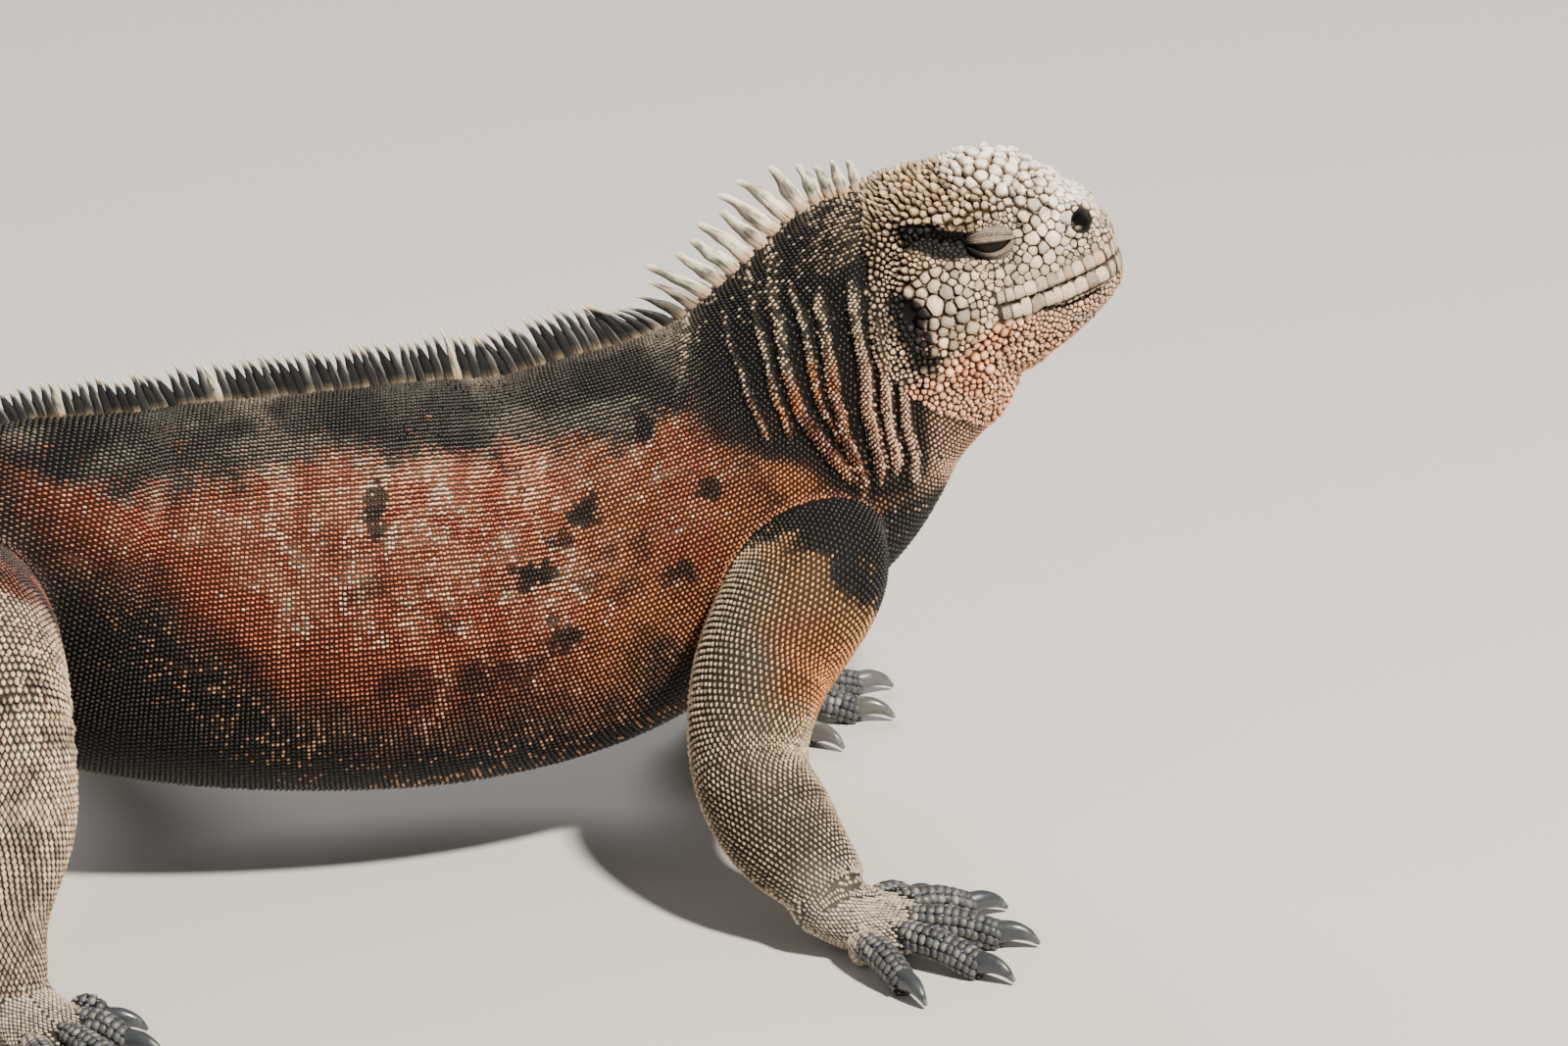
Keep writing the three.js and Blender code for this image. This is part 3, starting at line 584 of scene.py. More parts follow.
def head_mesh():
    """The head's loft with its bulges, in the body's frame."""
    grid, ends = HEAD.grid(90, 180, (8, 2.4), cap_rings=10)
    grid = grid + normals_of(grid) * head_relief(grid)[..., None]
    points, triangles = capped(grid, ends)
    return head_to_body(points), triangles


def lip_mesh(lip):
    """A lip's ridge, in the body's frame."""
    points, triangles = capped(*lip_tube(*lip).grid(120, 20, (2, 2)))
    return head_to_body(points), triangles


# The skin

SKIN_VOXEL = 0.85
SKIN_TRIANGLES = 190000
COAT_DEPTH = 0.45
FILLETS = [  # places where lofts meet: centre, reach
    ((8, 42, 88), 34),
    ((8, -42, 88), 34),
    ((-222, 46, 88), 38),
    ((-222, -46, 88), 38),
    ((30, 0, 150), 34),
    ((45, 0, 118), 30),
]
FLAT_ON_FLOOR = 0.03  # lowest place of the skin


def ankle_gap(points):
    """Distance of points from the nearest wrist or ankle."""
    return np.min([np.linalg.norm(points - foot.palm.rows[0, :3], axis=1) for foot in FEET.values()], 0)


def skin_source():
    """Every loft of flesh as one heap of closed meshes."""
    heap = [capped(*TRUNK.grid(420, 120, (4, 10))), head_mesh()]
    heap += [lip_mesh(lip) for lip in LIPS]
    heap += [capped(*limb.grid(80, 72, (6, 4))) for limb in [*ARMS.values(), *LEGS.values()]]
    for foot in FEET.values():
        heap.append(capped(*foot.palm.grid(24, 48, (4, 5))))
        heap += [capped(*digit.grid(40, 32, (2, 3.6))) for digit in foot.digits]
    return joined(heap)


def located(points, margin, own=None):
    """Each loft, except a point's own, that comes near some of the points: its number, which
    points those are, and t, angle and level there."""
    for number, loft in enumerate(ALL_LOFTS):
        local = body_to_head(points) if loft is HEAD else points
        reach = loft.rows[:, 3:6].max() + margin
        near = np.all((local > loft.axis.min(0) - reach) & (local < loft.axis.max(0) + reach), 1)
        if loft is not own and near.any():
            yield number, np.flatnonzero(near), *loft.locate(local[near])


def regions_of(points):
    """For each point: the number of the loft it lies on, with t and angle there."""
    best = np.full(len(points), np.inf)
    region = np.zeros(len(points), int)
    t, angle = np.zeros(len(points)), np.zeros(len(points))
    for number, index, at, around, level in located(points, 12):
        closer = level < best[index]
        index = index[closer]
        best[index], region[index] = level[closer], number
        t[index], angle[index] = at[closer], around[closer]
    return region, t, angle


# Ridges of the neck's hanging folds: half width, height as a part of the valleys' depth, and the
# heights and places along x that each runs through
RIDGES = [
    (1.3, 1.0, (116, 130, 141, 154), (-33, -27, -24, -21)),
    (1.1, 0.7, (120, 132, 144, 152), (-3, -8, -11.5, -12.6)),
    (1.1, 0.8, (122, 137, 149, 162), (3, -1.9, -3.8, -4.5)),
    (1.7, 1.2, (103, 116, 128, 141, 153, 166), (22, 13, 6.5, 2.5, 1.8, 1.9)),
    (1.2, 0.9, (116, 129, 141, 153, 160), (18, 12.5, 10, 8.2, 6)),
    (1.7, 1.2, (102, 121, 133, 143, 156), (22.5, 18, 16.3, 14.5, 13.5)),
    (1.6, 1.2, (104, 126, 139, 147, 158), (27.5, 25.2, 24.3, 23, 22.5)),
    (1.5, 1.1, (106, 127, 137, 150), (31.5, 30, 29.4, 29)),
    (1.5, 1.0, (100, 118, 130), (37, 35.5, 34.5)),
]


def fold_ridges(points):
    """The neck's ridges: the strongest bell curve across each ridge's line, faded at its ends,
    with some noise in its place."""
    x, _, z = points.T
    x = x + 2.2 * (speckle(points, 12, 41) - 0.5)
    strongest = np.zeros(len(points))
    for wide, part, heights, places in RIDGES:
        place = np.interp(z, heights, places)
        slope = (np.interp(z + 1, heights, places) - np.interp(z - 1, heights, places)) / 2
        across = (x - place) / np.sqrt(1 + slope**2)
        ends = smooth(z, heights[0] - 6, heights[0] + 5) * (1 - smooth(z, heights[-1] - 4, heights[-1] + 7))
        strongest = np.maximum(strongest, part * ends * bell(across, 0, wide))
    return strongest


def valley_depth(points):
    """How deep the skin lies between the ridges, before they are raised: shallow at the shoulder
    and the nape, deepest behind the jaw."""
    x, y, z = points.T
    low = np.interp(x, (-30, 5, 22, 35), (118, 110, 98, 96))
    depth = np.interp(x, (-34, -20, 0, 20, 34, 44), (0, 0.8, 1.3, 1.8, 2.0, 0))
    depth = depth + 1.5 * bell(x, 33, 3) * smooth(z, 124, 138)
    upper = 1 - smooth(z - 0.5 * x, 146, 158)
    return depth * upper * smooth(z, low - 6, low + 12) * smooth(np.abs(y), 2, 12)


def neck_folds(points, region):
    """How far the folds move the skin: valleys in, and the strongest ridges a little out."""
    on_neck = (region <= 1) * (body_to_head(points)[:, 0] < -4)
    return on_neck * valley_depth(points) * (fold_ridges(points) - 1)


LIMB_CREASES = [(2, 0.6, 0.1), (3, 0.6, 0.1), (4, 0.54, 0.3), (5, 0.54, 0.3)]  # region, t, depth


def limb_creases(region, t):
    """Fine creases across the elbows and the knees."""
    creases = np.zeros(len(t))
    for number, bend, depth in LIMB_CREASES:
        creases += (region == number) * bell(t, bend, 0.09) * depth * np.sin(t * 190)
    return creases


def face_hollows(points):
    """Inward moves of the head: sockets behind the lids, nostrils, ears and the mouth's line."""
    p = body_to_head(points)
    side = one_side(p)

    def around(centre, size):
        """1 within a size of a centre, 0 beyond."""
        return np.exp(-((((side - centre) / size) ** 2).sum(-1) ** 2))

    along, up = eye_offsets(side)
    depth = 3.6 * np.exp(-(((along / 6.6) ** 2 + (up / 4.0) ** 2) ** 2)) * (side[:, 1] > EYE_DEPTH)
    depth += 6 * around(NOSTRIL, (2.3, 6, 2.1))
    depth += 2.6 * around(EAR + [0, 0, -1], (4.6, 8, 8))
    line = TEMPLE_LINE[0] + TEMPLE_LINE[1] * side[:, 0]
    temple = np.exp(-(((side[:, 0] + 8) / 9) ** 4) - ((side[:, 2] - line) / 3) ** 2)
    depth += 1.8 * temple * (side[:, 1] > EYE_DEPTH)
    for x, z, long, high in HEAD_PITS:
        pit = np.exp(-(((side[:, 0] - x) / long) ** 2) - ((side[:, 2] - z) / high) ** 2)
        depth += 1.1 * pit * (side[:, 1] > 4)
    groove = np.interp(side[:, 0], *LIP_GROOVE)
    along_lip = smooth(side[:, 0], 7, 12) * (1 - smooth(side[:, 0], 27, 32))
    depth += 1.3 * bell(side[:, 2], groove, 0.8) * along_lip
    rim = np.linalg.norm((side - NOSTRIL) * [1, 0.3, 1], axis=1)
    depth -= 1.0 * bell(rim, 3.4, 1.0)
    on_mouth = smooth(p[:, 0], -2, 3) * (np.abs(p[:, 1]) < 26)
    return -depth - 1.0 * on_mouth * bell(p[:, 2], mouth_height(p[:, 0]) - 0.1, 0.5)


def make_skin():
    """Remeshes the heap into one surface, rounds the joins, presses in the folds and lays the
    soles and the tail flat on the floor."""
    skin = new_object("skin", *skin_source())
    remesh = skin.modifiers.new("one_surface", "REMESH")
    remesh.mode = "VOXEL"
    remesh.voxel_size = SKIN_VOXEL * MM
    apply_modifiers(skin)

    points, _ = read_points(skin)
    weight = np.full(len(points), 0.12)
    for centre, reach in FILLETS:
        far = np.linalg.norm(points - centre, axis=1)
        weight = np.maximum(weight, 1 - smooth(far, reach * 0.6, reach))
    weight *= 1 - 0.9 * smooth(body_to_head(points)[:, 0], -14, -4)
    weight = np.maximum(weight, 0.8 * (1 - smooth(ankle_gap(points), 9, 17)))
    group = skin.vertex_groups.new(name="fillets")
    level = np.round(weight * 20).astype(int)
    for step in np.unique(level):
        group.add(np.flatnonzero(level == step).tolist(), step / 20, "REPLACE")
    for repeat in (40, 30):
        rounding = skin.modifiers.new("rounding", "SMOOTH")
        rounding.factor = 0.5
        rounding.iterations = repeat
        rounding.vertex_group = "fillets"
    apply_modifiers(skin)

    points, normals = read_points(skin)
    region, t, _ = regions_of(points)
    move = neck_folds(points, region) + limb_creases(region, t) - COAT_DEPTH
    points = points + normals * (move + face_hollows(points))[:, None]
    points[:, 2] = np.maximum(points[:, 2], FLAT_ON_FLOOR)
    skin.data.vertices.foreach_set("co", (points * MM + SHIFT).astype(np.float32).ravel())
    skin.data.update()
    count = 2 * len(skin.data.polygons)
    spare = skin.vertex_groups.new(name="spare")
    spare.add(np.flatnonzero(body_to_head(points)[:, 0] < -26).tolist(), 1, "REPLACE")
    thin = skin.modifiers.new("thin", "DECIMATE")
    thin.vertex_group = "spare"
    thin.ratio = min(1, SKIN_TRIANGLES / count)
    apply_modifiers(skin)
    skin.data.polygons.foreach_set("use_smooth", np.full(len(skin.data.polygons), True))
    return skin


# Edges of the red band on the flanks and the neck: places along x and their heights
UPPER_EDGE = ([-200, -105, -51, -30, -13, 4, 22, 40], [118, 118, 120, 126, 129, 138, 145, 150])
LOWER_EDGE = (
    [-260, -201, -185, -170, -150, -135, -104, -56, -40, -20, 10],
    [112, 105, 97, 90, 71, 57, 51, 52, 60, 74, 84],
)

# Colours, as linear red, green and blue

BACK = np.array([0.042, 0.037, 0.03])
BACK_PALE = np.array([0.17, 0.15, 0.118])
RED = np.array([0.44, 0.078, 0.025])
SALMON = np.array([0.86, 0.38, 0.20])
CREAM = np.array([0.92, 0.68, 0.46])
RUST = np.array([0.14, 0.032, 0.013])
BLACK = np.array([0.012, 0.011, 0.010])
BELLY = np.array([0.020, 0.016, 0.013])
ORANGE = np.array([0.56, 0.17, 0.038])
THROAT = np.array([0.64, 0.36, 0.23])
TAN = np.array([0.56, 0.27, 0.085])
DOT_CREAM = np.array([0.50, 0.38, 0.245])
ARM_GREY = np.array([0.15, 0.115, 0.08])
PALM_PALE = np.array([0.42, 0.375, 0.30])
DIGIT_GREY = np.array([0.05, 0.056, 0.064])
LEG_IVORY = np.array([0.64, 0.49, 0.34])
SALT = np.array([0.95, 0.90, 0.81])
CROWN = np.array([0.42, 0.30, 0.19])
CHEEK = np.array([0.27, 0.235, 0.185])
LIP = np.array([0.42, 0.365, 0.29])
# near black for painted shade in the hollows of the head and behind the lids
SHADE_BLACK = np.array([0.010, 0.010, 0.010])
LID_GREY = np.array([0.33, 0.285, 0.225])
CLAW_GREY = np.array([0.035, 0.04, 0.046])
CLAW_PALE = np.array([0.09, 0.088, 0.082])

# Black blotches of the flanks and the neck: x, z, half length, half height and strength
BLOTCHES = np.array([
    [-110, 110, 3.2, 5.5, 1], [-54, 105, 4.6, 3.6, 1], [-60, 99, 3.2, 2.4, 0.9], [-69, 90.5, 7, 3, 1],
    [-36, 125, 3.2, 3.6, 1], [-3, 116, 3, 2.6, 0.9], [-4, 132, 3.4, 3.4, 1], [-19, 108, 3.2, 3, 0.95],
    [-30, 87, 4, 3.6, 0.9], [-61, 73, 5.5, 4.2, 0.95], [-39, 95, 3.2, 3.4, 0.6], [-47, 94, 2.6, 2.6, 0.6],
    [-53, 87, 2.8, 3.2, 0.6], [-45, 85, 3.6, 3.6, 0.6], [-74, 66, 7, 5, 0.7], [-111, 91, 6, 3.5, 0.6],
    [-92, 80, 3, 2.6, 0.6], [-103, 66, 9, 6, 0.7], [-86, 65, 7, 5, 0.7], [-41, 68, 5, 5, 0.6],
])


def blotches(points, chance):
    """Black in ellipses with ragged edges: 1 where |(p - centre) / size| plus noise stays below
    1. On the left side they lie elsewhere along the body."""
    x, y, z = points.T
    x = np.where(y > 0, -144 - x * 0.9, x)
    ragged = 1.5 * (speckle(points, 3.2, 5) - 0.5) + 0.55 * (chance - 0.5)
    cover = np.zeros(len(points))
    for cx, cz, long, high, strength in BLOTCHES:
        level = np.hypot((x - cx) / long, (z - cz) / high) + ragged
        cover = np.maximum(cover, strength * (1 - smooth(level, 0.8, 1.1)))
    return cover


def trunk_colour(points, chance):
    """Grey-black back, brick-red band with black blotches and cream flecks, dark belly; on the
    neck a black nape above orange folds, with painted shade in the valleys between them and pale
    beads on their ridges as painted highlight, and a pinkish throat in front."""
    x, _, z = points.T
    height = z + 8 * (speckle(points, 24, 1) - 0.5) + 7 * (speckle(points, 7, 2) - 0.5) + 5 * (chance - 0.5)
    upper_edge = np.interp(x, *UPPER_EDGE)
    lower_edge = np.interp(x, *LOWER_EDGE)
    colour = blend(BACK, BACK_PALE, 0.5 * smooth(speckle(points, 16, 10), 0.4, 0.7))
    colour = blend(colour, BLACK, 0.8 * smooth(speckle(points, 19, 14), 0.55, 0.75))
    colour = blend(colour, BELLY, 1 - smooth(height, lower_edge - 8, lower_edge + 2))

    # the band: deep red-brown below, brick red in the middle, salmon and cream near its top
    front = smooth(x, -80, -35)
    rise = smooth(height, lower_edge - 4, lower_edge + 42)
    hue = blend(RUST, RED, smooth(rise, 0.05, 0.45))
    hue = blend(hue, ORANGE, front * smooth(speckle(points, 13, 19), 0.2, 0.6) * 0.9)
    dark = smooth(speckle(points, 9, 4) + 0.4 * (chance - 0.5), 0.58, 0.8)
    hue = blend(hue, hue * 0.4, dark * (1 - 0.6 * rise))
    streaks = speckle(points * [2.2, 1, 0.8], 9, 3) + 0.55 * (chance - 0.5)
    hue = blend(hue, SALMON, smooth(streaks + 0.5 * (rise - 0.8), 0.44, 0.8) * (0.7 - 0.3 * front))
    cream = speckle(points * [2.4, 1, 0.9], 6, 7) + 0.45 * (chance - 0.5) + 0.55 * (rise - 0.95) - 0.1 * front
    hue = blend(hue, CREAM, smooth(cream, 0.66, 0.78) * 0.9)
    ragged = 9 * (speckle(points, 5, 6) - 0.5)
    share = smooth(height + ragged, lower_edge - 11, lower_edge + 9)
    share = share * (1 - smooth(height + 0.6 * ragged, upper_edge - 4, upper_edge + 4))
    share = share * smooth(x + 0.4 * (height - z), -222, -200)
    colour = blend(colour, hue, share)
    dots = (chance > 0.76) * (1 - smooth(lower_edge - height, 10, 36)) * smooth(x, -200, -150) * (1 - share)
    colour = blend(colour, SALMON * 0.6, dots * 0.9 * (z < 90) * smooth(speckle(points, 8, 16), 0.3, 0.6))

    # the neck: its nape, folds, throat and chest
    ridge, depth = fold_ridges(points), valley_depth(points)
    valley_shade = smooth(depth, 0.25, 0.9) * (1 - smooth(ridge + 0.25 * (chance - 0.5), 0.25, 0.6))
    neck = smooth(x + 0.3 * (z - 120), -26, -6)
    nape = blend(BLACK, DOT_CREAM * 0.8, (chance > 0.87) * 0.8)
    near_head = smooth(x + 0.35 * (z - 150) + 12 * (speckle(points, 6, 20) - 0.5), 12, 32)
    nape = blend(nape, CROWN, near_head * smooth(z, 118, 140) * (chance > 0.4) * 0.75)
    fold = blend(RUST, ORANGE, smooth(speckle(points, 11, 18) + 0.3 * (chance - 0.5), 0.3, 0.6))
    fold = blend(fold, THROAT * 0.9, smooth(x - 0.30 * (130 - z), 17, 28))
    fold = blend(fold, RUST, (1 - smooth(x + 0.25 * (130 - z), -12, 4)) * 0.6)
    # painted highlight: cream beads lighten the crests of the fold ridges
    fold = blend(fold, CREAM * 0.85, (chance > 0.68) * 0.6 * smooth(ridge, 0.2, 0.6))
    under_nape = 1 - smooth(height, upper_edge - 10, upper_edge + 4)
    nape = blend(nape, fold, under_nape * smooth(z, 92, 102))
    # painted highlight: pale beads along the ridge crests of the nape
    beads = smooth(ridge, 0.5, 0.75) * (chance > 0.35) * (1 - under_nape)
    nape = blend(nape, DOT_CREAM * 1.3, beads)
    chest = (1 - smooth(z, 84, 98)) * smooth(x, -20, 10)
    nape = blend(nape, BELLY * 1.5, chest * 0.85)
    colour = blend(colour, nape, neck)
    colour = blend(colour, BLACK, blotches(points, chance) * smooth(z, 40, 56) * 0.97)
    # painted shade: the valleys between the neck's folds are blackened
    colour = blend(colour, BLACK, valley_shade * 0.96)

    tail = 1 - smooth(x, -300, -245)
    band = smooth(np.sin(x / 9.5 + 2 * speckle(points, 30, 9)), 0.2, 0.8)
    tail_hue = blend(BACK, BACK_PALE, 0.5 * smooth(speckle(points, 14, 24), 0.4, 0.7))
    tail_hue = blend(tail_hue, RUST * 0.8, band * 0.6)
    return blend(colour, tail_hue, tail)


def highlight_and_wear(pigment):
    """The painted highlight on the top of a scale: cream is mixed in, little on black scales and most on pale
    ones.
    """
    bright = pigment @ np.array([0.3, 0.6, 0.1])
    return blend(pigment, CREAM, 0.01 + 0.44 * smooth(bright, 0.02, 0.14))


def salt_share(points):
    """How thick the dried salt lies: on the forehead and thinner down to the nostrils."""
    p = body_to_head(points)
    x, _, z = p.T
    patch = speckle(p, 6, 11) - 0.5
    forehead = smooth(z + 0.5 * x + 9 * patch, 31, 35) * smooth(x + 6 * patch, -4, 1) * (z > 12)
    return np.maximum(forehead, smooth(x + 6 * patch, 14, 22) * smooth(z + 4 * patch, 9, 15) * 0.75)


def head_colour(points, chance):
    """Salt-white forehead, tan crown, grey plates, pale lips, pink throat, and painted shade in near black
    over the temple, the pits, the groove below the lower lip, the ear and the nostrils.
    """
    p = body_to_head(points)
    x, y, z = p.T
    side = np.abs(y)
    patch = speckle(p, 6, 11)
    colour = blend(CROWN, CROWN * 0.35, (chance > 0.62) * 0.7)
    colour = blend(colour, CROWN * [1.5, 1.6, 1.7], (chance < 0.25) * 0.6)
    snout = smooth(x - 0.25 * z + 6 * (patch - 0.5), -6, 8)
    colour = blend(colour, LIP, snout * 0.85)
    colour = blend(colour, LIP * [0.95, 0.8, 0.62], snout * (chance > 0.7) * 0.7)
    lips = (np.abs(z - mouth_height(x)) < 5.6) * smooth(x, -1, 4)
    mottled = smooth(speckle(p * [1.6, 1, 1], 2.4, 17) + 0.3 * (chance - 0.5), 0.42, 0.72)
    lip_hue = blend(LIP * 0.66, LIP * [0.3, 0.27, 0.23], mottled * 0.9)
    spots = smooth(speckle(p, 3.5, 15) + 0.2 * (chance - 0.5), 0.56, 0.68)
    colour = blend(colour, LIP * 0.35, snout * spots * 0.85)
    colour = blend(colour, SALT, salt_share(points) * (0.8 + 0.2 * (chance > 0.15)))
    cheek = np.exp(-(((x + 11) / 9) ** 2) - ((z - 6.5) / 7.5) ** 2)
    colour = blend(colour, CHEEK, smooth(cheek, 0.25, 0.6))
    colour = blend(colour, CHEEK * 1.8, smooth(cheek, 0.25, 0.6) * (chance > 0.7) * 0.6)
    line = TEMPLE_LINE[0] + TEMPLE_LINE[1] * x
    level = (((x + 9) / 11.5) ** 4 + ((z - line + 2 * (patch - 0.5)) / 4.3) ** 4) ** 0.25
    temple = (1 - smooth(level, 0.82, 1.08)) * smooth(side, 11, 15)
    for pit_x, pit_z, long, high in HEAD_PITS:
        pit = np.exp(-((np.hypot((x - pit_x) / long, (z - pit_z) / high) / 1.2) ** 4)) * (side > 4)
        temple = np.maximum(temple, 0.85 * pit)
    groove = bell(z, np.interp(x, *LIP_GROOVE) + 0.2, 0.9) * smooth(x, 7, 12) * (1 - smooth(x, 27, 32))
    temple = np.maximum(temple, 0.9 * smooth(groove, 0.3, 0.7))
    level = (((x + 22.5 + 4 * (patch - 0.5)) / 5.5) ** 4 + ((z - 1 + 0.4 * (x + 22)) / 12.5) ** 4) ** 0.25
    ear = 1 - smooth(level + 0.25 * (chance - 0.5), 0.75, 1.1)
    hollow = np.exp(-((((one_side(p) - NOSTRIL) / [3.4, 6, 3.3]) ** 2).sum(1) ** 3))
    throat = 1 - smooth(z - 0.3 * x + 3 * (patch - 0.5), -8, -3)
    colour = blend(colour, THROAT, throat)
    pink = smooth(speckle(p, 14, 12) + 0.25 * (chance - 0.5), 0.35, 0.75) * (1 - smooth(x, 0, 14))
    colour = blend(colour, THROAT * [1.0, 0.62, 0.5], throat * pink * 0.75)
    colour = blend(colour, LIP, throat * smooth(x + 0.6 * z, 2, 14) * 0.6)
    colour = blend(colour, lip_hue, lips * 0.85)
    colour = blend(colour, SALMON, throat * (chance > 0.8) * 0.5)
    rear = 1 - smooth(x, -31, -24)
    colour = blend(colour, BLACK * 1.4, rear * smooth(z + 4 * (patch - 0.5), -6, 4) * 0.8 * (chance < 0.8))
    # painted shade: near black over the temple, the pits, the lip groove, the ear and the nostril hollows
    return blend(colour, SHADE_BLACK * 0.6, np.maximum(np.maximum(temple, ear), hollow))


def arm_colour(points, t, chance):
    """Black shoulder, golden and orange front, cream dots behind and below, with painted shade on the skin
    between them.
    """
    x = points[:, 0]
    blot = speckle(points, 8, 21) - 0.5
    colour = blend(DOT_CREAM, ARM_GREY, (chance > 0.82) * 0.7)
    front = smooth(x + 10 * t + 8 * blot, -10, 4) * (1 - smooth(t + 0.2 * blot, 0.44, 0.6))
    golden = blend(TAN, ORANGE, smooth(bell(t + 0.1 * blot, 0.4, 0.09), 0.2, 0.8) * 0.8)
    colour = blend(colour, golden, front * 0.95)
    colour = blend(colour, ARM_GREY, smooth(t + 0.3 * blot, 0.62, 0.8) * 0.6)
    colour = blend(colour, BLACK * 2, 1 - smooth(t + 0.12 * blot + 0.04 * (chance - 0.5), 0.2, 0.235))
    return blend(colour, PALM_PALE, smooth(t + 0.05 * blot, 0.9, 0.99) * 0.7)


def leg_colour(points, t, chance):
    """Rust and black thighs, ivory over tan from the knee down."""
    blot = speckle(points, 8, 21) - 0.5
    colour = blend(RUST, BLACK, smooth(speckle(points, 9, 23), 0.4, 0.6) * 0.8)
    outer = smooth(t + 0.1 * blot, 0.33, 0.44)
    colour = blend(colour, LEG_IVORY, outer)
    colour = blend(colour, LEG_IVORY * [0.55, 0.42, 0.33], outer * (chance > 0.55) * 0.6)
    colour = blend(colour, ARM_GREY * 1.2, smooth(t, 0.66, 0.88) * 0.6)
    return blend(colour, BLACK, smooth(speckle(points, 6, 22), 0.66, 0.74) * 0.55)


def foot_colour(digit, t, chance):
    """Pale palms and soles, dark grey digits with paler scutes."""
    grey = blend(DIGIT_GREY, DIGIT_GREY * 2, (chance > 0.7) * 0.5)
    grey = blend(grey, DIGIT_GREY * 0.65, smooth(t, 0.75, 1) * 0.6)
    palm = blend(PALM_PALE, ARM_GREY, (chance > 0.75) * 0.5)
    return blend(palm, grey, digit * smooth(t, 0.05, 0.3))


def colour_of(points, region, t, chance):
    """The markings, the same function for the skin and for each scale's root."""
    digit = (region > 5) & ((region - 6) % 6 > 0)
    colour = trunk_colour(points, chance)
    for on_it, marked in (
        (region == 1, head_colour(points, chance)),
        ((region == 2) | (region == 3), arm_colour(points, t, chance)),
        ((region == 4) | (region == 5), leg_colour(points, t, chance)),
        (region > 5, foot_colour(digit, t, chance)),
    ):
        colour = np.where(on_it[:, None], marked, colour)
    return colour


# Scales

NEIGHBOUR = 0.7  # from a site to the two beside it that give the skin's slope
HEAD_EDGE = [(27, 240), (27, 140), (37, 127), (62, 108), (140, 108), (140, 240)]


def in_head(points):
    """Whether points lie within the head's outline in the x-z plane, by crossings of its edges."""
    x, z = points[:, 0], points[:, 2]
    inside = np.zeros(len(points), bool)
    for (x0, z0), (x1, z1) in zip(HEAD_EDGE, HEAD_EDGE[1:] + HEAD_EDGE[:1]):
        if z0 == z1:
            continue
        crosses = (z > min(z0, z1)) & (z <= max(z0, z1))
        inside ^= crosses & (x < x0 + (z - z0) * (x1 - x0) / (z1 - z0))
    return inside


def lattice(tube, row_pitch, pitch, belly, t_range, stagger):
    """Sites in rows round a loft: t and angle. Each row counts from the ridge at the top down
    both sides, so that the rows meet under the belly, and every other row is shifted by stagger.
    Both pitches are functions of t; low on the belly the pitch grows to belly times itself."""
    fine = np.linspace(*t_range, 1000)
    tt, aa = np.meshgrid(fine, np.arange(8) * np.pi / 4, indexing="ij")
    lengths = np.linalg.norm(np.diff(tube.point(tt, aa), axis=0), axis=2)
    steps = lengths.mean(1) * 0.5 + lengths.max(1) * 0.5
    count = np.concatenate([[0], np.cumsum(steps / row_pitch((fine[1:] + fine[:-1]) / 2))])
    rows = np.interp(np.arange(int(count[-1])) + 0.5, count, fine)
    spread = np.linspace(np.pi / 2, -np.pi / 2, 97)
    tt, aa = np.meshgrid(rows, spread, indexing="ij")
    ring = tube.point(tt, aa)
    lengths = np.linalg.norm(np.diff(ring, axis=1), axis=2)
    slack = 1 + (belly - 1) * smooth(-np.sin(aa[:, 1:]), 0.3, 0.8)
    along = np.cumsum(lengths / (slack * pitch(rows)[:, None]), axis=1)
    along = np.concatenate([np.zeros((len(rows), 1)), along], 1)
    most = int(along[:, -1].max()) + 1
    number = np.arange(most)[None] + 0.5 - stagger / 2 + stagger * (np.arange(len(rows)) % 2)[:, None]
    keep = number < along[:, -1:]
    far = 2 * most
    lift = (np.arange(len(rows)) * far)[:, None]
    angle = np.interp((number + lift).ravel(), (along + lift).ravel(), aa.ravel())
    angle = angle.reshape(number.shape)[keep]
    t = np.broadcast_to(rows[:, None], number.shape)[keep]
    return np.concatenate([t, t]), np.concatenate([angle, np.pi - angle])


def wrap_points(skin, points):
    """The nearest points of the skin."""
    cloud = new_object("cloud", points, np.zeros((0, 3), int))
    wrap = cloud.modifiers.new("to_skin", "SHRINKWRAP")
    wrap.target = skin
    wrapped, _ = read_points(cloud)
    mesh = cloud.data
    bpy.data.objects.remove(cloud)
    bpy.data.meshes.remove(mesh)
    return wrapped


def on_skin(skin, points, along, normal):
    """Moves sites to the skin and gives its frame there: each site and two neighbours NEIGHBOUR
    off are shrunk to the skin together, and the normal is the cross product between them."""
    across = np.cross(normal, along)
    cloud = np.concatenate([points, points + along * NEIGHBOUR, points + across * NEIGHBOUR])
    root, ahead, aside = np.split(wrap_points(skin, cloud), 3)
    facing = unit(np.cross(ahead - root, aside - root))
    lost = np.linalg.norm(facing, axis=1) < 0.5
    facing[lost] = normal[lost]
    facing *= np.sign(dot(facing, normal))[:, None]
    facing = unit(facing + 0.35 * normal)
    return root, level_with(along, facing), facing


def tube_sites(tube, t, angle):
    """Places of sites on a loft with the direction along it and the outward normal."""
    step = 0.002
    place = tube.point(t, angle)
    along = unit(tube.point(np.minimum(t + step, 1), angle) - tube.point(np.maximum(t - step, 0), angle))
    around = unit(tube.point(t, angle + 0.02) - tube.point(t, angle - 0.02))
    normal = unit(np.cross(along, around))
    normal *= np.sign(dot(normal, place - tube.row(t)[:, :3]))[:, None]
    return place, along, normal


def outside(points, own):
    """Whether points of one loft stay clear of the inside of the others."""
    clear = np.ones(len(points), bool)
    for _, index, _, _, level in located(points, 4, own):
        clear[index] &= level > 0.9
    return clear


def thinned(points, size):
    """The first site in each cube of that size, which drops crowded ones."""
    cell = np.floor(points / size).astype(np.int64)
    key = cell @ np.array([1, 1 << 20, 1 << 40])
    return np.sort(np.unique(key, return_index=True)[1])


# Forms of a scale: points as (back to front, side to side, height) in units of its half length,
# half width and height, on a base that is sunk below the skin; front is towards the head
SUNK = -0.5


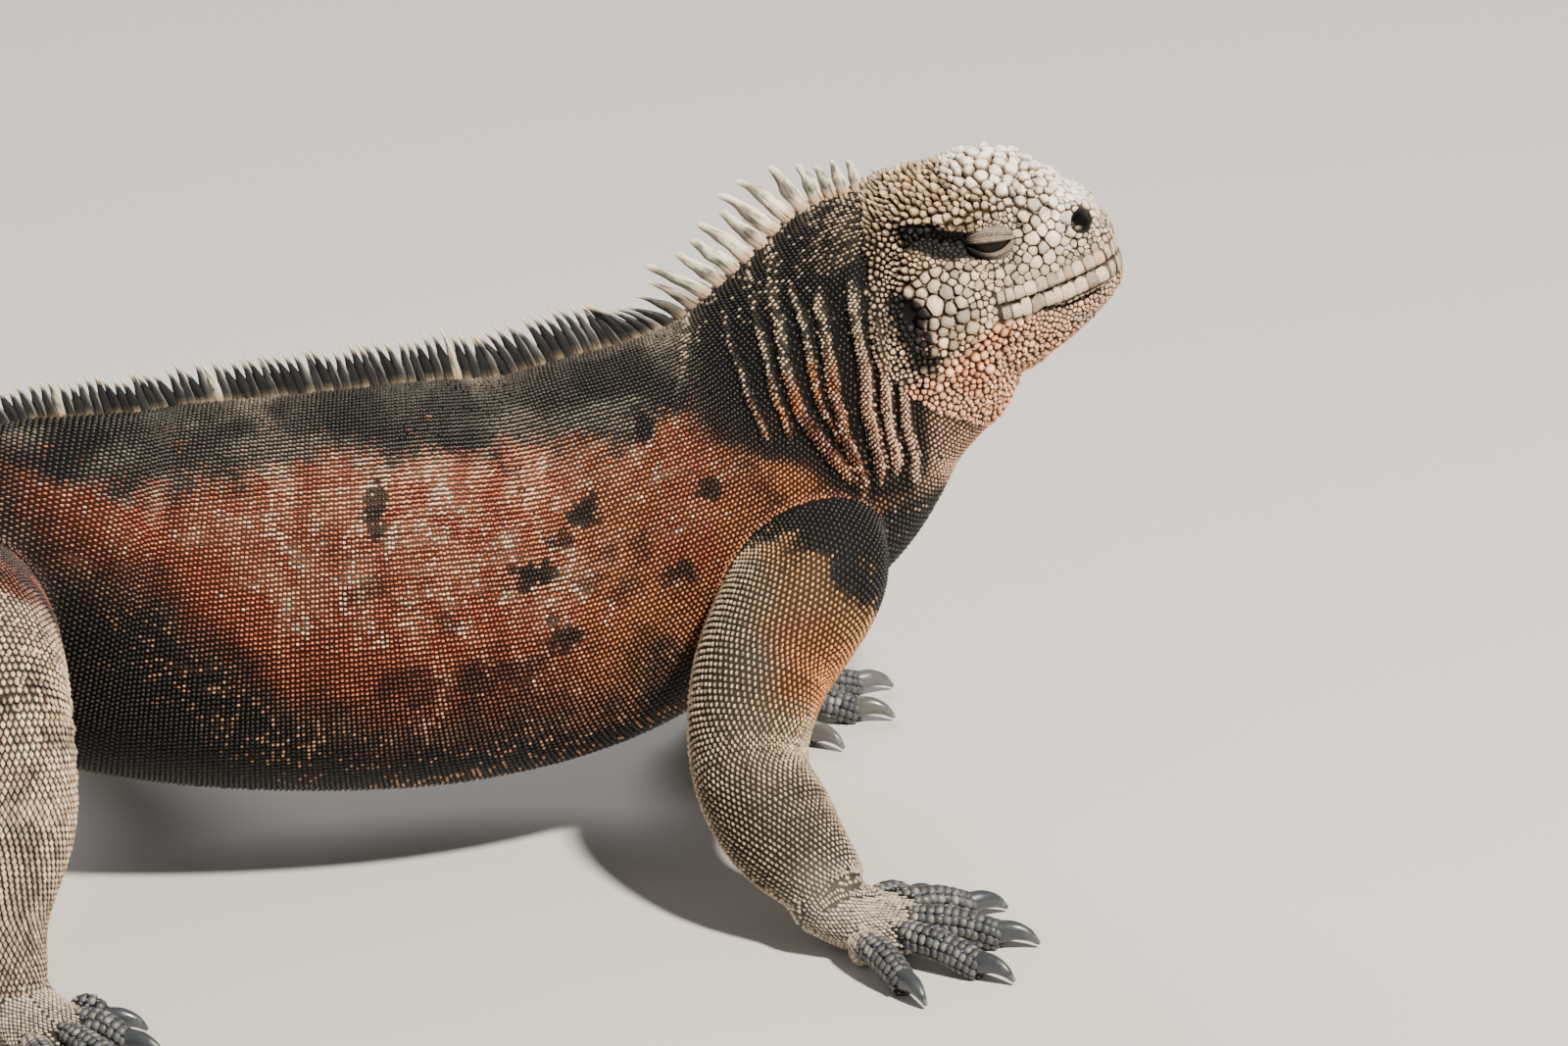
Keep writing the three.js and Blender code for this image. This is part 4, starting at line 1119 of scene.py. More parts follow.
def bead_form():
    """A low bead: a hexagon at the base and a short ridge that rises towards the back."""
    corner = np.radians(np.arange(6) * 60)
    base = np.stack([np.cos(corner), np.sin(corner), np.full(6, SUNK)], 1)
    ridge = [[-0.34, 0, 1], [0.28, 0, 0.92]]
    points = np.concatenate([base, ridge])
    walls = [[0, 1, 7], [1, 2, 6], [1, 6, 7], [2, 3, 6], [3, 4, 6], [4, 5, 6], [5, 7, 6], [5, 0, 7]]
    under = [[0, 2, 1], [0, 3, 2], [0, 4, 3], [0, 5, 4]]
    return points, outwards(points, np.array(walls + under))


def shingle_form():
    """A pointed scale that overlaps the next one back: low in front, with a raised rear tip."""
    base = [[1, 0, SUNK], [0.35, 0.95, SUNK], [-0.75, 0.7, SUNK], [-0.75, -0.7, SUNK], [0.35, -0.95, SUNK]]
    upper = [[0.55, 0, 0.45], [-0.2, 0.72, 0.5], [-0.2, -0.72, 0.5], [-1.25, 0, 0.95], [-0.5, 0, 1.05]]
    points = np.array(base + upper)
    walls = [
        [0, 1, 5], [4, 0, 5], [1, 6, 5], [4, 5, 7], [1, 2, 6], [3, 4, 7], [2, 8, 6], [3, 7, 8],
        [2, 3, 8], [6, 9, 5], [7, 5, 9], [6, 8, 9], [7, 9, 8],
    ]
    under = [[0, 2, 1], [0, 3, 2], [0, 4, 3]]
    return points, outwards(points, np.array(walls + under))


def scute_form():
    """A broad scale with rounded corners, low in front and raised along its rear edge."""
    corner = np.radians(np.arange(8) * 45 + 22.5)
    round_x = np.sign(np.cos(corner)) * np.abs(np.cos(corner)) ** 0.7
    round_y = np.sign(np.sin(corner)) * np.abs(np.sin(corner)) ** 0.7
    base = np.stack([round_x, round_y, np.full(8, SUNK)], 1)
    edge = np.stack([0.84 * round_x - 0.14, 0.9 * round_y, 0.62 - 0.26 * round_x], 1)
    top = np.array([[-0.25, 0, 1.06], [0, 0, SUNK]])
    i = np.arange(8)
    k = (i + 1) % 8
    walls = [np.stack([i, k, k + 8], 1), np.stack([i, k + 8, i + 8], 1)]
    caps = [np.stack([i + 8, k + 8, np.full(8, 16)], 1), np.stack([k, i, np.full(8, 17)], 1)]
    points = np.concatenate([base, edge, top])
    return points, outwards(points, np.concatenate(walls + caps))


BEAD, SHINGLE, SCUTE = bead_form(), shingle_form(), scute_form()


def scales_mesh(form, root, forward, facing, length, width, height):
    """Copies of a scale's form, one at each root, as whole arrays."""
    shape, faces = form
    side = np.cross(facing, forward)
    points = (
        root[:, None]
        + forward[:, None] * (shape[:, 0] * length[:, None])[..., None]
        + side[:, None] * (shape[:, 1] * width[:, None])[..., None]
        + facing[:, None] * (shape[:, 2] * height[:, None])[..., None]
    )
    return points.reshape(-1, 3), copies(faces, len(root), len(shape))


def write_bake_map(obj, triangles, u, v):
    """The OFBake map from u and v of each vertex."""
    layer = obj.data.uv_layers.new(name="OFBake")
    uv = np.stack([u[triangles.ravel()], v[triangles.ravel()]], 1)
    layer.data.foreach_set("uv", uv.astype(np.float32).ravel())


LOWEST = (np.array(CAD_BOX[0]) - SHIFT) / MM + 0.02  # where scales may reach, in the body's frame
HIGHEST = (np.array(CAD_BOX[1]) - SHIFT) / MM - 0.02
PATCH = 0.0015  # half size of a scale's patch on the map
SITES = []  # places already taken by scales


def jittered(count, spread):
    """Factors spread evenly about 1."""
    return 1 + spread * (RNG.random(count) - 0.5)


def finish_coat(name, points, triangles, pigment, rise, tint, u, v, slot):
    """A piece of coat: its mesh, markings and OFBake map, riding on the body."""
    paint = PLATE_PAINT if slot == "head_scales" else COAT_PAINT
    obj = new_object(name, np.clip(points, LOWEST, HIGHEST), triangles, paint)
    write_colour(obj, "pigment", pigment)
    # the second colour is the painted highlight for the top of each scale
    write_colour(obj, "highlight_and_wear", highlight_and_wear(pigment))
    write_float(obj, "rise", rise)
    write_float(obj, "tint", tint)
    write_bake_map(obj, triangles, u, v)
    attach(obj, "root")


def add_scales(name, form, sites, places, size, slot):
    """One piece of coat with a copy of the form at each site. sites holds roots and directions,
    places the region, t and angle, and size the half length, half width and height."""
    root, forward, facing = sites
    region, t, angle = places
    shape, count, corners = form[0], len(root), len(form[0])
    size = [part * jittered(count, 0.18) for part in size]
    points, triangles = scales_mesh(form, root, forward, facing, *size)
    SITES.append(root)
    pigment = colour_of(root, region, t, RNG.random(count))
    u = 0.003 + 0.994 * (t - t.min()) / max(np.ptp(t), 1e-9)
    v = 0.003 + 0.994 * (angle / (2 * np.pi) % 1)
    finish_coat(
        name, points, triangles,
        np.repeat(pigment, corners, 0),
        np.tile(np.clip(shape[:, 2], 0, 1), count),
        np.repeat(RNG.random(count), corners),
        np.repeat(u, corners) + np.tile(shape[:, 0], count) * PATCH,
        np.repeat(v, corners) + np.tile(shape[:, 1], count) * PATCH,
        slot,
    )


def run_on(tube, distance, size):
    """The loft with one row more, straight on past its end, with its width and heights at a size."""
    last = tube.rows[-1].copy()
    last[:3] += unit(last[:3] - tube.rows[-2, :3]) * distance
    last[3:6] *= size
    longer = Tube(np.vstack([tube.rows, last]), tube.reference)
    longer.own = tube
    return longer


SITE_JITTER = 0.14  # how far sites stray from their rows, in pitches
CROWDED = 0.5  # sites of a piece nearer than this, in pitches, are thinned out
ROOM = 0.36  # the room that a site needs from other pieces, in pitches
FARTHEST = 9  # how far the skin may lie from the loft, in millimetres


def coat_tube(
    name, tube, form, pitch, shape, skin, slot,
    belly=1, t_range=(0, 1), row_gap=0.87, stagger=0.5, keep=None, pieces=1,
):
    """Covers a loft with scales in rows. pitch is a function of t, and shape one of t and angle
    that gives half length, half width and height as parts of the pitch. Rows are row_gap pitches
    apart, and keep says which places are wanted."""
    t, angle = lattice(tube, lambda at: pitch(at) * row_gap, pitch, belly, t_range, stagger)
    place, along, normal = tube_sites(tube, t, angle)
    own = getattr(tube, "own", tube)
    number = ALL_LOFTS.index(own)
    good = outside(place, own) & (place[:, 2] > 0.5)
    if keep:
        good &= keep(place)
    t, angle, place, along, normal = (part[good] for part in (t, angle, place, along, normal))
    stretch = (len(tube.rows) - 1) / (len(own.rows) - 1)
    step = pitch(t)
    shift = (RNG.random((2, len(t), 1)) - 0.5) * SITE_JITTER * step[:, None]
    place = place + along * shift[0] + np.cross(normal, along) * shift[1]
    root, forward, facing = on_skin(skin, place, along * (1 if tube is TRUNK else -1), normal)
    chosen = thinned(root, CROWDED * step.mean())
    chosen = chosen[np.linalg.norm(root - place, axis=1)[chosen] < FARTHEST]
    if SITES:
        chosen = chosen[~taken(root[chosen], ROOM * step.mean())]
    chosen = chosen[np.argsort(root[chosen, 0] + 1e4 * (root[chosen, 1] > 0), kind="stable")]
    for k, index in enumerate(np.array_split(chosen, pieces), 1):
        slack = 1 + (belly - 1) * smooth(-np.sin(angle[index]), 0.3, 0.8)
        length, width, height = (step[index] * part for part in shape(t[index], angle[index]))
        add_scales(
            name if pieces == 1 else f"{name}_{k}", form,
            (root[index], forward[index], facing[index]),
            (np.full(len(index), number), np.minimum(t[index] * stretch, 1), angle[index]),
            (length, width * slack, height), slot,
        )


def random_sites(skin, count, wanted):
    """Random points of the skin where wanted(points) holds, with the skin's normals there:
    triangles drawn by area, and a point in each by (1-√a, √a(1-b), √a·b)."""
    mesh = skin.data
    mesh.calc_loop_triangles()
    corners = np.empty(3 * len(mesh.loop_triangles), np.int32)
    mesh.loop_triangles.foreach_get("vertices", corners)
    corners = corners.reshape(-1, 3)
    points, normals = read_points(skin)
    corners = corners[wanted(points[corners].mean(1))]
    a, b, c = (points[corners[:, k]] for k in range(3))
    area = np.linalg.norm(np.cross(b - a, c - a), axis=1)
    drawn = corners[RNG.choice(len(corners), count, p=area / area.sum())]
    root, share = np.sqrt(RNG.random(count)), RNG.random(count)
    weights = np.stack([1 - root, root * (1 - share), root * share], 1)[..., None]
    return (points[drawn] * weights).sum(1), unit((normals[drawn] * weights).sum(1))


def apart(points, radius):
    """Sites kept in turn, each at least the sum of both radii from all that were kept before it.
    A batch is first held against those already kept, and then within itself."""
    kept = np.empty(0, int)
    for batch in np.array_split(np.arange(len(points)), len(points) // 256 + 1):
        gap = np.linalg.norm(points[batch, None] - points[kept], axis=2)
        batch = batch[np.all(gap >= radius[batch, None] + radius[kept], axis=1)]
        gap = np.linalg.norm(points[batch, None] - points[batch], axis=2)
        clash = gap < radius[batch, None] + radius[batch]
        chosen = []
        for i in range(len(batch)):
            if not clash[i, chosen].any():
                chosen.append(i)
        kept = np.append(kept, batch[chosen])
    return kept


def taken(points, cell):
    """Whether a point's cube, or one that touches it, already holds a scale."""
    packing = np.array([1, 1 << 20, 1 << 40])
    near = np.array(list(itertools.product((-1, 0, 1), repeat=3)))
    full = np.floor(np.concatenate(SITES) / cell).astype(np.int64)
    keys = np.unique((full[:, None] + near[None]).reshape(-1, 3) @ packing)
    return np.isin(np.floor(points / cell).astype(np.int64) @ packing, keys)


GAP_SITES = 400000  # random sites tried between the pieces of coat
GAP_ROOM = 0.68
GAP_RADIUS = 0.6


def fill_gaps(skin):
    """Beads where the lofts meet and the rows of scales leave the skin bare."""
    points, normals = random_sites(skin, GAP_SITES, lambda p: body_to_head(p)[:, 0] < 40)
    bare = ~taken(points, GAP_ROOM) & (points[:, 2] > 0.6) & ~on_openings(points, 0.1, -1)
    points, normals = points[bare], normals[bare]
    first = apart(points, np.full(len(points), GAP_RADIUS))
    points, normals = points[first], normals[first]
    along = np.tile([1.0, 0, -0.2], (len(points), 1))
    forward = level_with(along, normals)
    places = regions_of(points)
    swell = 1 + 0.22 * (1 - smooth(ankle_gap(points), 16, 22))
    size = [swell * part for part in (0.98, 0.9, 0.55)]
    add_scales("scales_between", BEAD, (points, forward, normals), places, size, "body_scales")


# Plates of the head: centre and spread of a zone in the head's frame, half spacing, height,
# cone (0 a flat plate, 1 a spike) and how far the tip leans back
HEAD_ZONES = [
    ((-24, 0, 27), (9, 30, 9), 0.78, 2.5, 1.0, 0.3),  # rear of the crown, spikes
    ((-9, 0, 34), (8, 14, 6), 1.05, 2.0, 0.9, 0.25),  # crown
    ((9, 0, 31), (8, 11, 6), 1.85, 2.1, 0.4, 0.1),  # forehead, large salty tubercles
    ((-5, 19, 27), (12, 4, 2.5), 1.15, 1.7, 0.5, 0.2),  # brow ridge
    ((19, 5, 25), (6, 9, 5), 1.5, 1.5, 0.35, 0),  # top of the snout
    ((28, 3, 18), (5, 6, 5), 1.15, 0.9, 0.3, 0),  # tip of the snout
    ((17, 15, 14), (6, 6, 5), 1.6, 0.9, 0.12, 0),  # between eye and nostril
    ((26, 12, 7.5), (6, 6, 2.5), 0.9, 0.4, 0.2, 0),  # above the lip in front
    ((8, 19, 8), (9, 6, 2.5), 1.3, 0.8, 0.15, 0),  # row below the eye
    ((-7, 24, 11.5), (7, 6, 2.5), 1.35, 0.95, 0.15, 0),  # row behind the eye
    ((-13.5, 25, 6.5), (4.5, 7, 4.5), 1.95, 1.3, 0.12, 0),  # cheek, large plates
    ((-11, 25, -1), (6, 7, 3), 1.5, 1.0, 0.25, 0),  # cheek, lower plates
    ((-2, 24, 2), (4, 7, 5), 0.95, 0.55, 0.3, 0),  # behind the corner of the mouth
    ((-9, 22, 21.5), (7, 6, 3.5), 0.62, 0.3, 0.4, 0),  # temple
    ((4, 19, 16), (8.5, 6, 5.6), 0.68, 0.45, 0.3, 0),  # round the lids
    ((-29, 18, 4), (5, 14, 12), 0.7, 0.8, 0.7, 0.3),  # behind the ear
    ((-7, 18, -11), (12, 14, 6), 1.05, 1.15, 0.6, 0.1),  # jowl
    ((20, 10, -11), (12, 12, 5), 0.72, 0.7, 0.55, 0),  # chin
    ((0, 8, -30), (30, 20, 12), 0.84, 0.95, 0.6, 0.1),  # throat
]
LIP_ROWS = [(2.5, 1.45, 2.4), (-2.6, 1.6, 2.5)]  # offset from the mouth line, half length, half height
PLATE_TRIES = 45000  # random points of the head, which give the sites and their cells
LIP_CONE = -0.2  # flatter and broader on top than a plain plate
PLATE_SIDES = 16


def zones_at(p):
    """Half spacing, height, cone and lean in the head's frame: the zones' values, weighted by
    exp(-2|(p - centre) / spread|²)."""
    side = one_side(p)
    values = np.array([zone[2:] for zone in HEAD_ZONES])
    far = np.stack([(((side - zone[0]) / zone[1]) ** 2).sum(-1) for zone in HEAD_ZONES], 1)
    weight = np.exp(-2 * (far - far.min(1, keepdims=True)))
    weight /= weight.sum(1, keepdims=True)
    return (weight @ values).T


def on_openings(points, margin, mouth_start):
    """Whether points lie on the eyes, nostrils, ears or lips, which carry no plain plates."""
    side = one_side(body_to_head(points))
    lid = on_eye(side, 0.5 + margin) & (side[:, 1] > EYE_DEPTH)
    nostril = np.linalg.norm((side - NOSTRIL) * [1, 0.4, 1], axis=1) < NOSTRIL_RADIUS + margin
    ear = (((side - EAR) / EAR_SIZE) ** 2).sum(1) < 1
    off_mouth = np.abs(side[:, 2] - mouth_height(side[:, 0]))
    lips = (side[:, 0] > mouth_start) & (off_mouth < LIP_BAND - margin) & (side[:, 0] < 40)
    return lips | lid | nostril | ear


def outlines(points, forward, side, radius):
    """Outline of each plate at evenly spaced angles q: the least of share·distance/cos(q - q_j)
    over its neighbours j, as in a Voronoi cell, and never far past the plate's own radius."""
    turn = circle(PLATE_SIDES)
    reach = np.empty((len(points), PLATE_SIDES))
    for chunk in np.array_split(np.arange(len(points)), len(points) // 500 + 1):
        gap = points[None] - points[chunk, None]
        distance = np.linalg.norm(gap, axis=2)
        near = np.argpartition(distance, 14, axis=1)[:, :15]
        gap = np.take_along_axis(gap, near[..., None], 1)
        distance = np.take_along_axis(distance, near, 1)
        share = radius[chunk, None] / (radius[chunk, None] + radius[near])
        heading = np.arctan2(
            np.einsum("ijk,ik->ij", gap, side[chunk]), np.einsum("ijk,ik->ij", gap, forward[chunk])
        )
        lean = np.cos(turn[None, None] - heading[..., None])
        edge = (share * distance)[..., None] / np.maximum(lean, 0.05)
        edge[distance < 1e-6] = np.inf
        reach[chunk] = edge.min(1)
    reach = np.minimum(reach, 1.9 * radius[:, None])
    return np.minimum(reach, (np.roll(reach, 1, 1) + np.roll(reach, -1, 1)) / 2 + 0.09 * reach)


def evened(sites, radius, cloud, normals):
    """Each site moved three times to the middle of the points of a dense cloud that are nearest
    to it, by distance divided by its radius, and the mean normal there."""
    for _ in range(3):
        owner = []
        for part in np.array_split(cloud, 40):
            gap = (part**2).sum(1)[:, None] - 2 * part @ sites.T + (sites**2).sum(1)
            owner.append(np.argmin(gap / radius**2, 1))
        owner = np.concatenate(owner)
        count = np.maximum(np.bincount(owner, minlength=len(sites)), 1)[:, None]
        middle, facing = (
            np.stack([np.bincount(owner, values[:, k], len(sites)) for k in range(3)], 1) / count
            for values in (cloud, normals)
        )
        held = np.linalg.norm(facing, axis=1) > 0.3
        sites = np.where(held[:, None], middle, sites)
    return sites[held], radius[held], unit(facing[held])


def make_plates(skin, root, forward, facing, reach, height, cone, lean):
    """Plates and tubercles of any outline, in three pieces: rings at the foot, the shoulder and
    the top and one point, with all rings laid on the skin before they are raised."""
    side = np.cross(facing, forward)
    turn = circle(PLATE_SIDES)
    flat = 1 - cone
    rings = [  # part of the outline, part of the height
        (np.full(len(root), 1.0), np.full(len(root), 0.0)),
        (0.80 + 0.16 * flat, 0.30 + 0.50 * flat),
        (0.38 + 0.48 * flat, 0.76 + 0.24 * flat),
    ]
    arrow = forward[:, None] * np.cos(turn)[None, :, None] + side[:, None] * np.sin(turn)[None, :, None]
    floor = [root[:, None] + arrow * (reach * part[:, None])[..., None] for part, _ in rings]
    floor = wrap_points(skin, np.stack(floor, 1).reshape(-1, 3)).reshape(len(root), 3, PLATE_SIDES, 3)
    back = -forward * (lean * height)[:, None]
    phase = RNG.random((len(root), 1)) * 2 * np.pi
    tilt = 0.3 * RNG.random((len(root), 1)) * np.cos(turn - phase)
    raised = []
    for k, (_, part) in enumerate(rings):
        uneven = 1 + tilt + 0.16 * (RNG.random((len(root), PLATE_SIDES)) - 0.5)
        lift = facing[:, None] * (part * height)[:, None, None] * uneven[..., None]
        lift = lift + (back * (part**2)[:, None] - (0.45 * facing if k == 0 else 0))[:, None]
        raised.append(floor[:, k] + lift)
    tip = root + facing * (1.03 * height)[:, None] + back
    foot = root - 0.7 * facing
    points = np.concatenate([*raised, foot[:, None], tip[:, None]], 1)
    count = points.shape[1]
    shape = outwards(points[0], closed_triangles(3, PLATE_SIDES))
    triangles = copies(shape, len(root), count)
    level = np.repeat([0, 0.45, 0.9, 0, 1.0], [PLATE_SIDES] * 3 + [1, 1])
    place = body_to_head(root)
    u = 0.01 + 0.98 * np.clip((place[:, 0] + 60) / 100, 0, 1)
    v = 0.01 + 0.98 * (np.arctan2(place[:, 2] - 5, place[:, 1]) / (2 * np.pi) % 1)
    cos, sin = np.append(np.tile(np.cos(turn), 3), [0, 0]), np.append(np.tile(np.sin(turn), 3), [0, 0])
    region, t, _ = regions_of(root)
    region = np.where(place[:, 0] > -34, 1, region)
    chance = RNG.random(len(root))
    pigment = colour_of(points.reshape(-1, 3), *(np.repeat(part, count) for part in (region, t, chance)))
    tint = RNG.random(len(root))
    for k, part in enumerate(np.array_split(np.arange(len(root)), 3), 1):
        rows = (part[:, None] * count + np.arange(count)).ravel()
        finish_coat(
            f"plates_head_{k}", points.reshape(-1, 3)[rows], triangles[: len(part) * len(shape)],
            pigment[rows], np.tile(level, len(part)), np.repeat(tint[part], count),
            np.repeat(u[part], count) + np.tile(cos, len(part)) * PATCH,
            np.repeat(v[part], count) + np.tile(sin, len(part)) * PATCH, "head_scales",
        )


def lip_sites(skin):
    """Plates along both lips from one corner of the mouth round the snout to the other, a little
    smaller at the corners."""
    sites = []
    turn = circle(PLATE_SIDES)
    for (offset, length, height), (_, front, thickness) in zip(LIP_ROWS, LIPS):
        path = lip_tube(offset, front, thickness).row(np.linspace(0, 1, 800))[:, :3]
        run = np.concatenate([[0], np.cumsum(np.linalg.norm(np.diff(path, axis=0), axis=1))])
        share = 0.75 + 0.5 * RNG.random(int(run[-1] / (2 * length)))
        ends = np.concatenate([[0], np.cumsum(share)]) * run[-1] / share.sum()
        at, half = (ends[1:] + ends[:-1]) / 2, (ends[1:] - ends[:-1])[:, None] / 2 - 0.03
        place = np.stack([np.interp(at, run, path[:, k]) for k in range(3)], 1)
        along = unit(np.stack([np.interp(at + 0.5, run, path[:, k]) for k in range(3)], 1) - place)
        out = unit(np.cross(along, [0, 0, 1.0]))
        out *= np.sign(dot(out, place - [10, 0, 0]))[:, None]
        shape = (np.abs(np.cos(turn) / half) ** 6 + np.abs(np.sin(turn) / height) ** 6) ** (-1 / 6)
        swell = 0.82 + 0.18 * smooth(place[:, 0], 1, 8)
        flow = along * np.where(at > run[-1] / 2, -1, 1)[:, None]
        sites.append((place + out * 2.5, flow, out, shape * swell[:, None]))
    spots, flow, out, reach = (np.concatenate(part) for part in zip(*sites))
    return *on_skin(skin, head_to_body(spots), turned_to_body(flow), turned_to_body(out)), reach


def make_head_plates(skin):
    """Plates in zones of size and height over the whole head, and the rows along the lips."""

    def wanted(points):
        """Where plain plates of the head belong."""
        return in_head(points) & (body_to_head(points)[:, 0] > -60) & ~on_openings(points, 0, 0)

    cloud, normals = random_sites(skin, PLATE_TRIES, wanted)
    radius = zones_at(body_to_head(cloud))[0] * (0.75 + 0.6 * RNG.random(len(cloud)) ** 2)
    kept = apart(cloud, radius * 0.94)
    points, radius, facing = evened(cloud[kept], radius[kept], cloud, normals)
    points = wrap_points(skin, points)
    _, height, cone, lean = zones_at(body_to_head(points))
    heading = np.tile(turned_to_body([1, 0, 0]), (len(points), 1))
    forward = level_with(heading, facing)
    reach = outlines(points, forward, np.cross(facing, forward), radius) - 0.05
    place = body_to_head(points)
    low = place[:, 2] + 0.25 * (place[:, 0] - 8)
    beady = np.maximum(1 - smooth(low, -14, -6), 0.8 * (1 - smooth(place[:, 0], -24, -17)))
    reach = np.minimum(reach, (1.2 - 0.25 * beady)[:, None] * reach.mean(1, keepdims=True))
    height = height * jittered(len(points), 0.5) * (0.6 + 0.4 * radius / radius.mean()).clip(0.7, 1.3)
    lips = lip_sites(skin)
    count = len(lips[0])
    SITES.extend([points, lips[0]])
    lips = (*lips, 0.3 + 0.2 * RNG.random(count), np.full(count, LIP_CONE), np.zeros(count))
    plain = (points, forward, facing, reach, height, cone, lean)
    make_plates(skin, *(np.concatenate(pair) for pair in zip(plain, lips)))


# Lids, eyes, crest and claws

LID_THICKNESS = 1.0
LID_OPEN = math.radians(21)  # how far a lid stands off the slit's middle, from the eye's centre
LID_REACH = math.radians(98)
GAZE = unit(np.array([0.25, 1, 0.08]))
CORNEA = 0.03  # how far it stands out, in radii of the eye


def eye_frame(side):
    """Directions of an eye in the body's frame: along the slit to the front, outwards, up."""
    tilt = np.array([math.cos(EYE_TILT), 0, math.sin(EYE_TILT)])
    up = np.array([-math.sin(EYE_TILT), 0, math.cos(EYE_TILT)])
    out = unit(np.array([0, side, 0.0]) + 0.1 * up)
    up = unit(up - out * (up @ out))
    centre = head_to_body(EYE_CENTRE * [1, side, 1])
    return centre, [turned_to_body(direction) for direction in (tilt, out, up)]


def on_lid(side, latitude, longitude, radius):
    """Points round an eye: latitude runs along the slit, longitude from the slit up and down."""
    centre, (along, out, up) = eye_frame(side)
    ring = np.cos(longitude)[..., None] * out + np.sin(longitude)[..., None] * up
    around = np.cos(latitude)[..., None] * ring + np.sin(latitude)[..., None] * along
    return centre + radius[..., None] * around


def slit(latitude, upper):
    """Longitude of a lid's edge: open in the middle, closed at both corners."""
    return LID_OPEN * (0.16 if upper else 1.0) * np.clip(1 - (latitude / 0.98) ** 2, 0.02, 1) ** 0.7


def lid_mesh(side, upper):
    """A lid as a bent band: round it goes the ellipse-like loop of its thickness, along it the
    latitude. Its outer face carries folds that run along the slit."""
    latitude = np.linspace(-1.42, 1.42, 60)
    lat, turn = np.meshgrid(latitude, circle(72), indexing="ij")
    edge = slit(lat, upper)
    flat = np.sign(np.sin(turn)) * np.abs(np.sin(turn)) ** 0.4
    longitude = (edge + LID_REACH) / 2 - (LID_REACH - edge) / 2 * np.cos(turn)
    outer = smooth(np.sin(turn), 0, 0.5)
    fold = np.abs(np.sin(longitude * (9 if upper else 11) + 0.5 * lat)) ** 0.7 - 0.5
    rim = bell(longitude - edge, 0.07, 0.08)
    middle = LID_RADIUS - LID_THICKNESS / 2
    radius = middle + flat * LID_THICKNESS / 2 + outer * (0.26 * fold + 0.25 * rim)
    grid = on_lid(side, lat, longitude if upper else -longitude, radius)
    ends = np.stack([grid[0].mean(0), grid[-1].mean(0)])
    return capped(grid, ends)


def lid_granules(side):
    """Rows of granules over the lids: long ones like lashes at the edges, then small ones."""
    roots, forwards, facings, sizes = [], [], [], []
    for upper in (True, False):
        for row, gap in enumerate([0.09, 0.19, 0.29, 0.39, 0.5, 0.61, 0.72, 0.84, 0.97, 1.1, 1.25]):
            lat = np.arange(-1.25, 1.25, 0.09) + 0.045 * (row % 2)
            lon = slit(lat, upper) + gap
            sign = 1 if upper else -1
            here = on_lid(side, lat, sign * lon, np.full_like(lat, LID_RADIUS + 0.05))
            ahead = on_lid(side, lat + 0.02, sign * lon, np.full_like(lat, LID_RADIUS + 0.05))
            roots.append(here)
            forwards.append(unit(ahead - here))
            facings.append(unit(here - eye_frame(side)[0]))
            narrow = np.cos(lat) ** 0.4
            sizes.append(np.stack([0.33 * narrow, (0.5 if row == 0 else 0.38) * narrow, 0.3 * narrow]))
    facing = np.concatenate(facings)
    forward = np.concatenate(forwards)
    forward = level_with(forward, facing)
    return np.concatenate(roots), forward, facing, np.concatenate(sizes, 1)


def make_lids():
    """Both lids of both eyes with their granules, as one piece."""
    shells = joined([lid_mesh(side, upper) for side in (1, -1) for upper in (True, False)])
    grains = []
    for side in (1, -1):
        root, forward, facing, size = lid_granules(side)
        grains.append(scales_mesh(BEAD, root, forward, facing, *size))
    points, triangles = joined([shells, *grains])
    shell_count = len(shells[0])
    beads = (len(points) - shell_count) // len(BEAD[0])
    level = np.concatenate([np.full(shell_count, 0.5), np.tile(np.clip(BEAD[0][:, 2], 0, 1), beads)])
    tint = np.concatenate([np.full(shell_count, 0.4), np.repeat(RNG.random(beads), len(BEAD[0]))])
    p = body_to_head(points)
    along, up = eye_offsets(one_side(p))
    # painted shade: the rear and lower part of the lids goes to near black, as the hollow round the eye lies
    # in shade
    dark = 1 - smooth(along + 1.1 * up, -5.5, 0.5)
    pigment = blend(LID_GREY, SHADE_BLACK, dark)
    edge = bell(up, 0.6, 0.6) * smooth(along, -6, -3)
    pigment = blend(pigment, LID_GREY * 1.7, edge * 0.8 * (level > 0.5))
    u = 0.01 + 0.98 * np.clip((p[:, 0] + 8) / 24, 0, 1)
    v = 0.01 + 0.98 * np.clip((p[:, 2] - 5) / 24, 0, 1) * 0.5 + 0.49 * (p[:, 1] > 0)
    finish_coat("lids", points, triangles, pigment, level, tint, u, v, "head_scales")


def make_eyes():
    """Two balls with a raised cornea; the attribute from_pupil is the sine of the angle between
    a point and the gaze."""
    for side, name in ((1, "left"), (-1, "right")):
        tilt, turn = np.meshgrid(np.linspace(0, np.pi, 34)[1:-1], circle(48), indexing="ij")
        gaze = turned_to_body(GAZE * [1, side, 1])
        up = unit(np.array([0, 0, 1.0]) - gaze * gaze[2])
        across = np.cross(up, gaze)
        bulge = EYE_RADIUS * (1 + CORNEA * (1 - smooth(np.sin(tilt), 0.3, 0.8)) * (np.cos(tilt) > 0))
        ring = np.cos(turn)[..., None] * up + np.sin(turn)[..., None] * across
        away = np.cos(tilt)[..., None] * gaze + np.sin(tilt)[..., None] * ring
        centre = head_to_body(EYE_CENTRE * [1, side, 1])
        grid = centre + away * bulge[..., None]
        ends = np.stack([centre + gaze * EYE_RADIUS * (1 + CORNEA), centre - gaze * EYE_RADIUS])
        points, triangles = capped(grid, ends)
        obj = new_object(f"eyeball_{name}", points, triangles, EYE_PAINT)
        offset = unit(points - centre)
        behind = offset @ gaze < 0
        write_float(obj, "from_pupil", np.linalg.norm(np.cross(offset, gaze), axis=1) + behind)
        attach(obj, "root")
        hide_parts(f"eye_{name}")


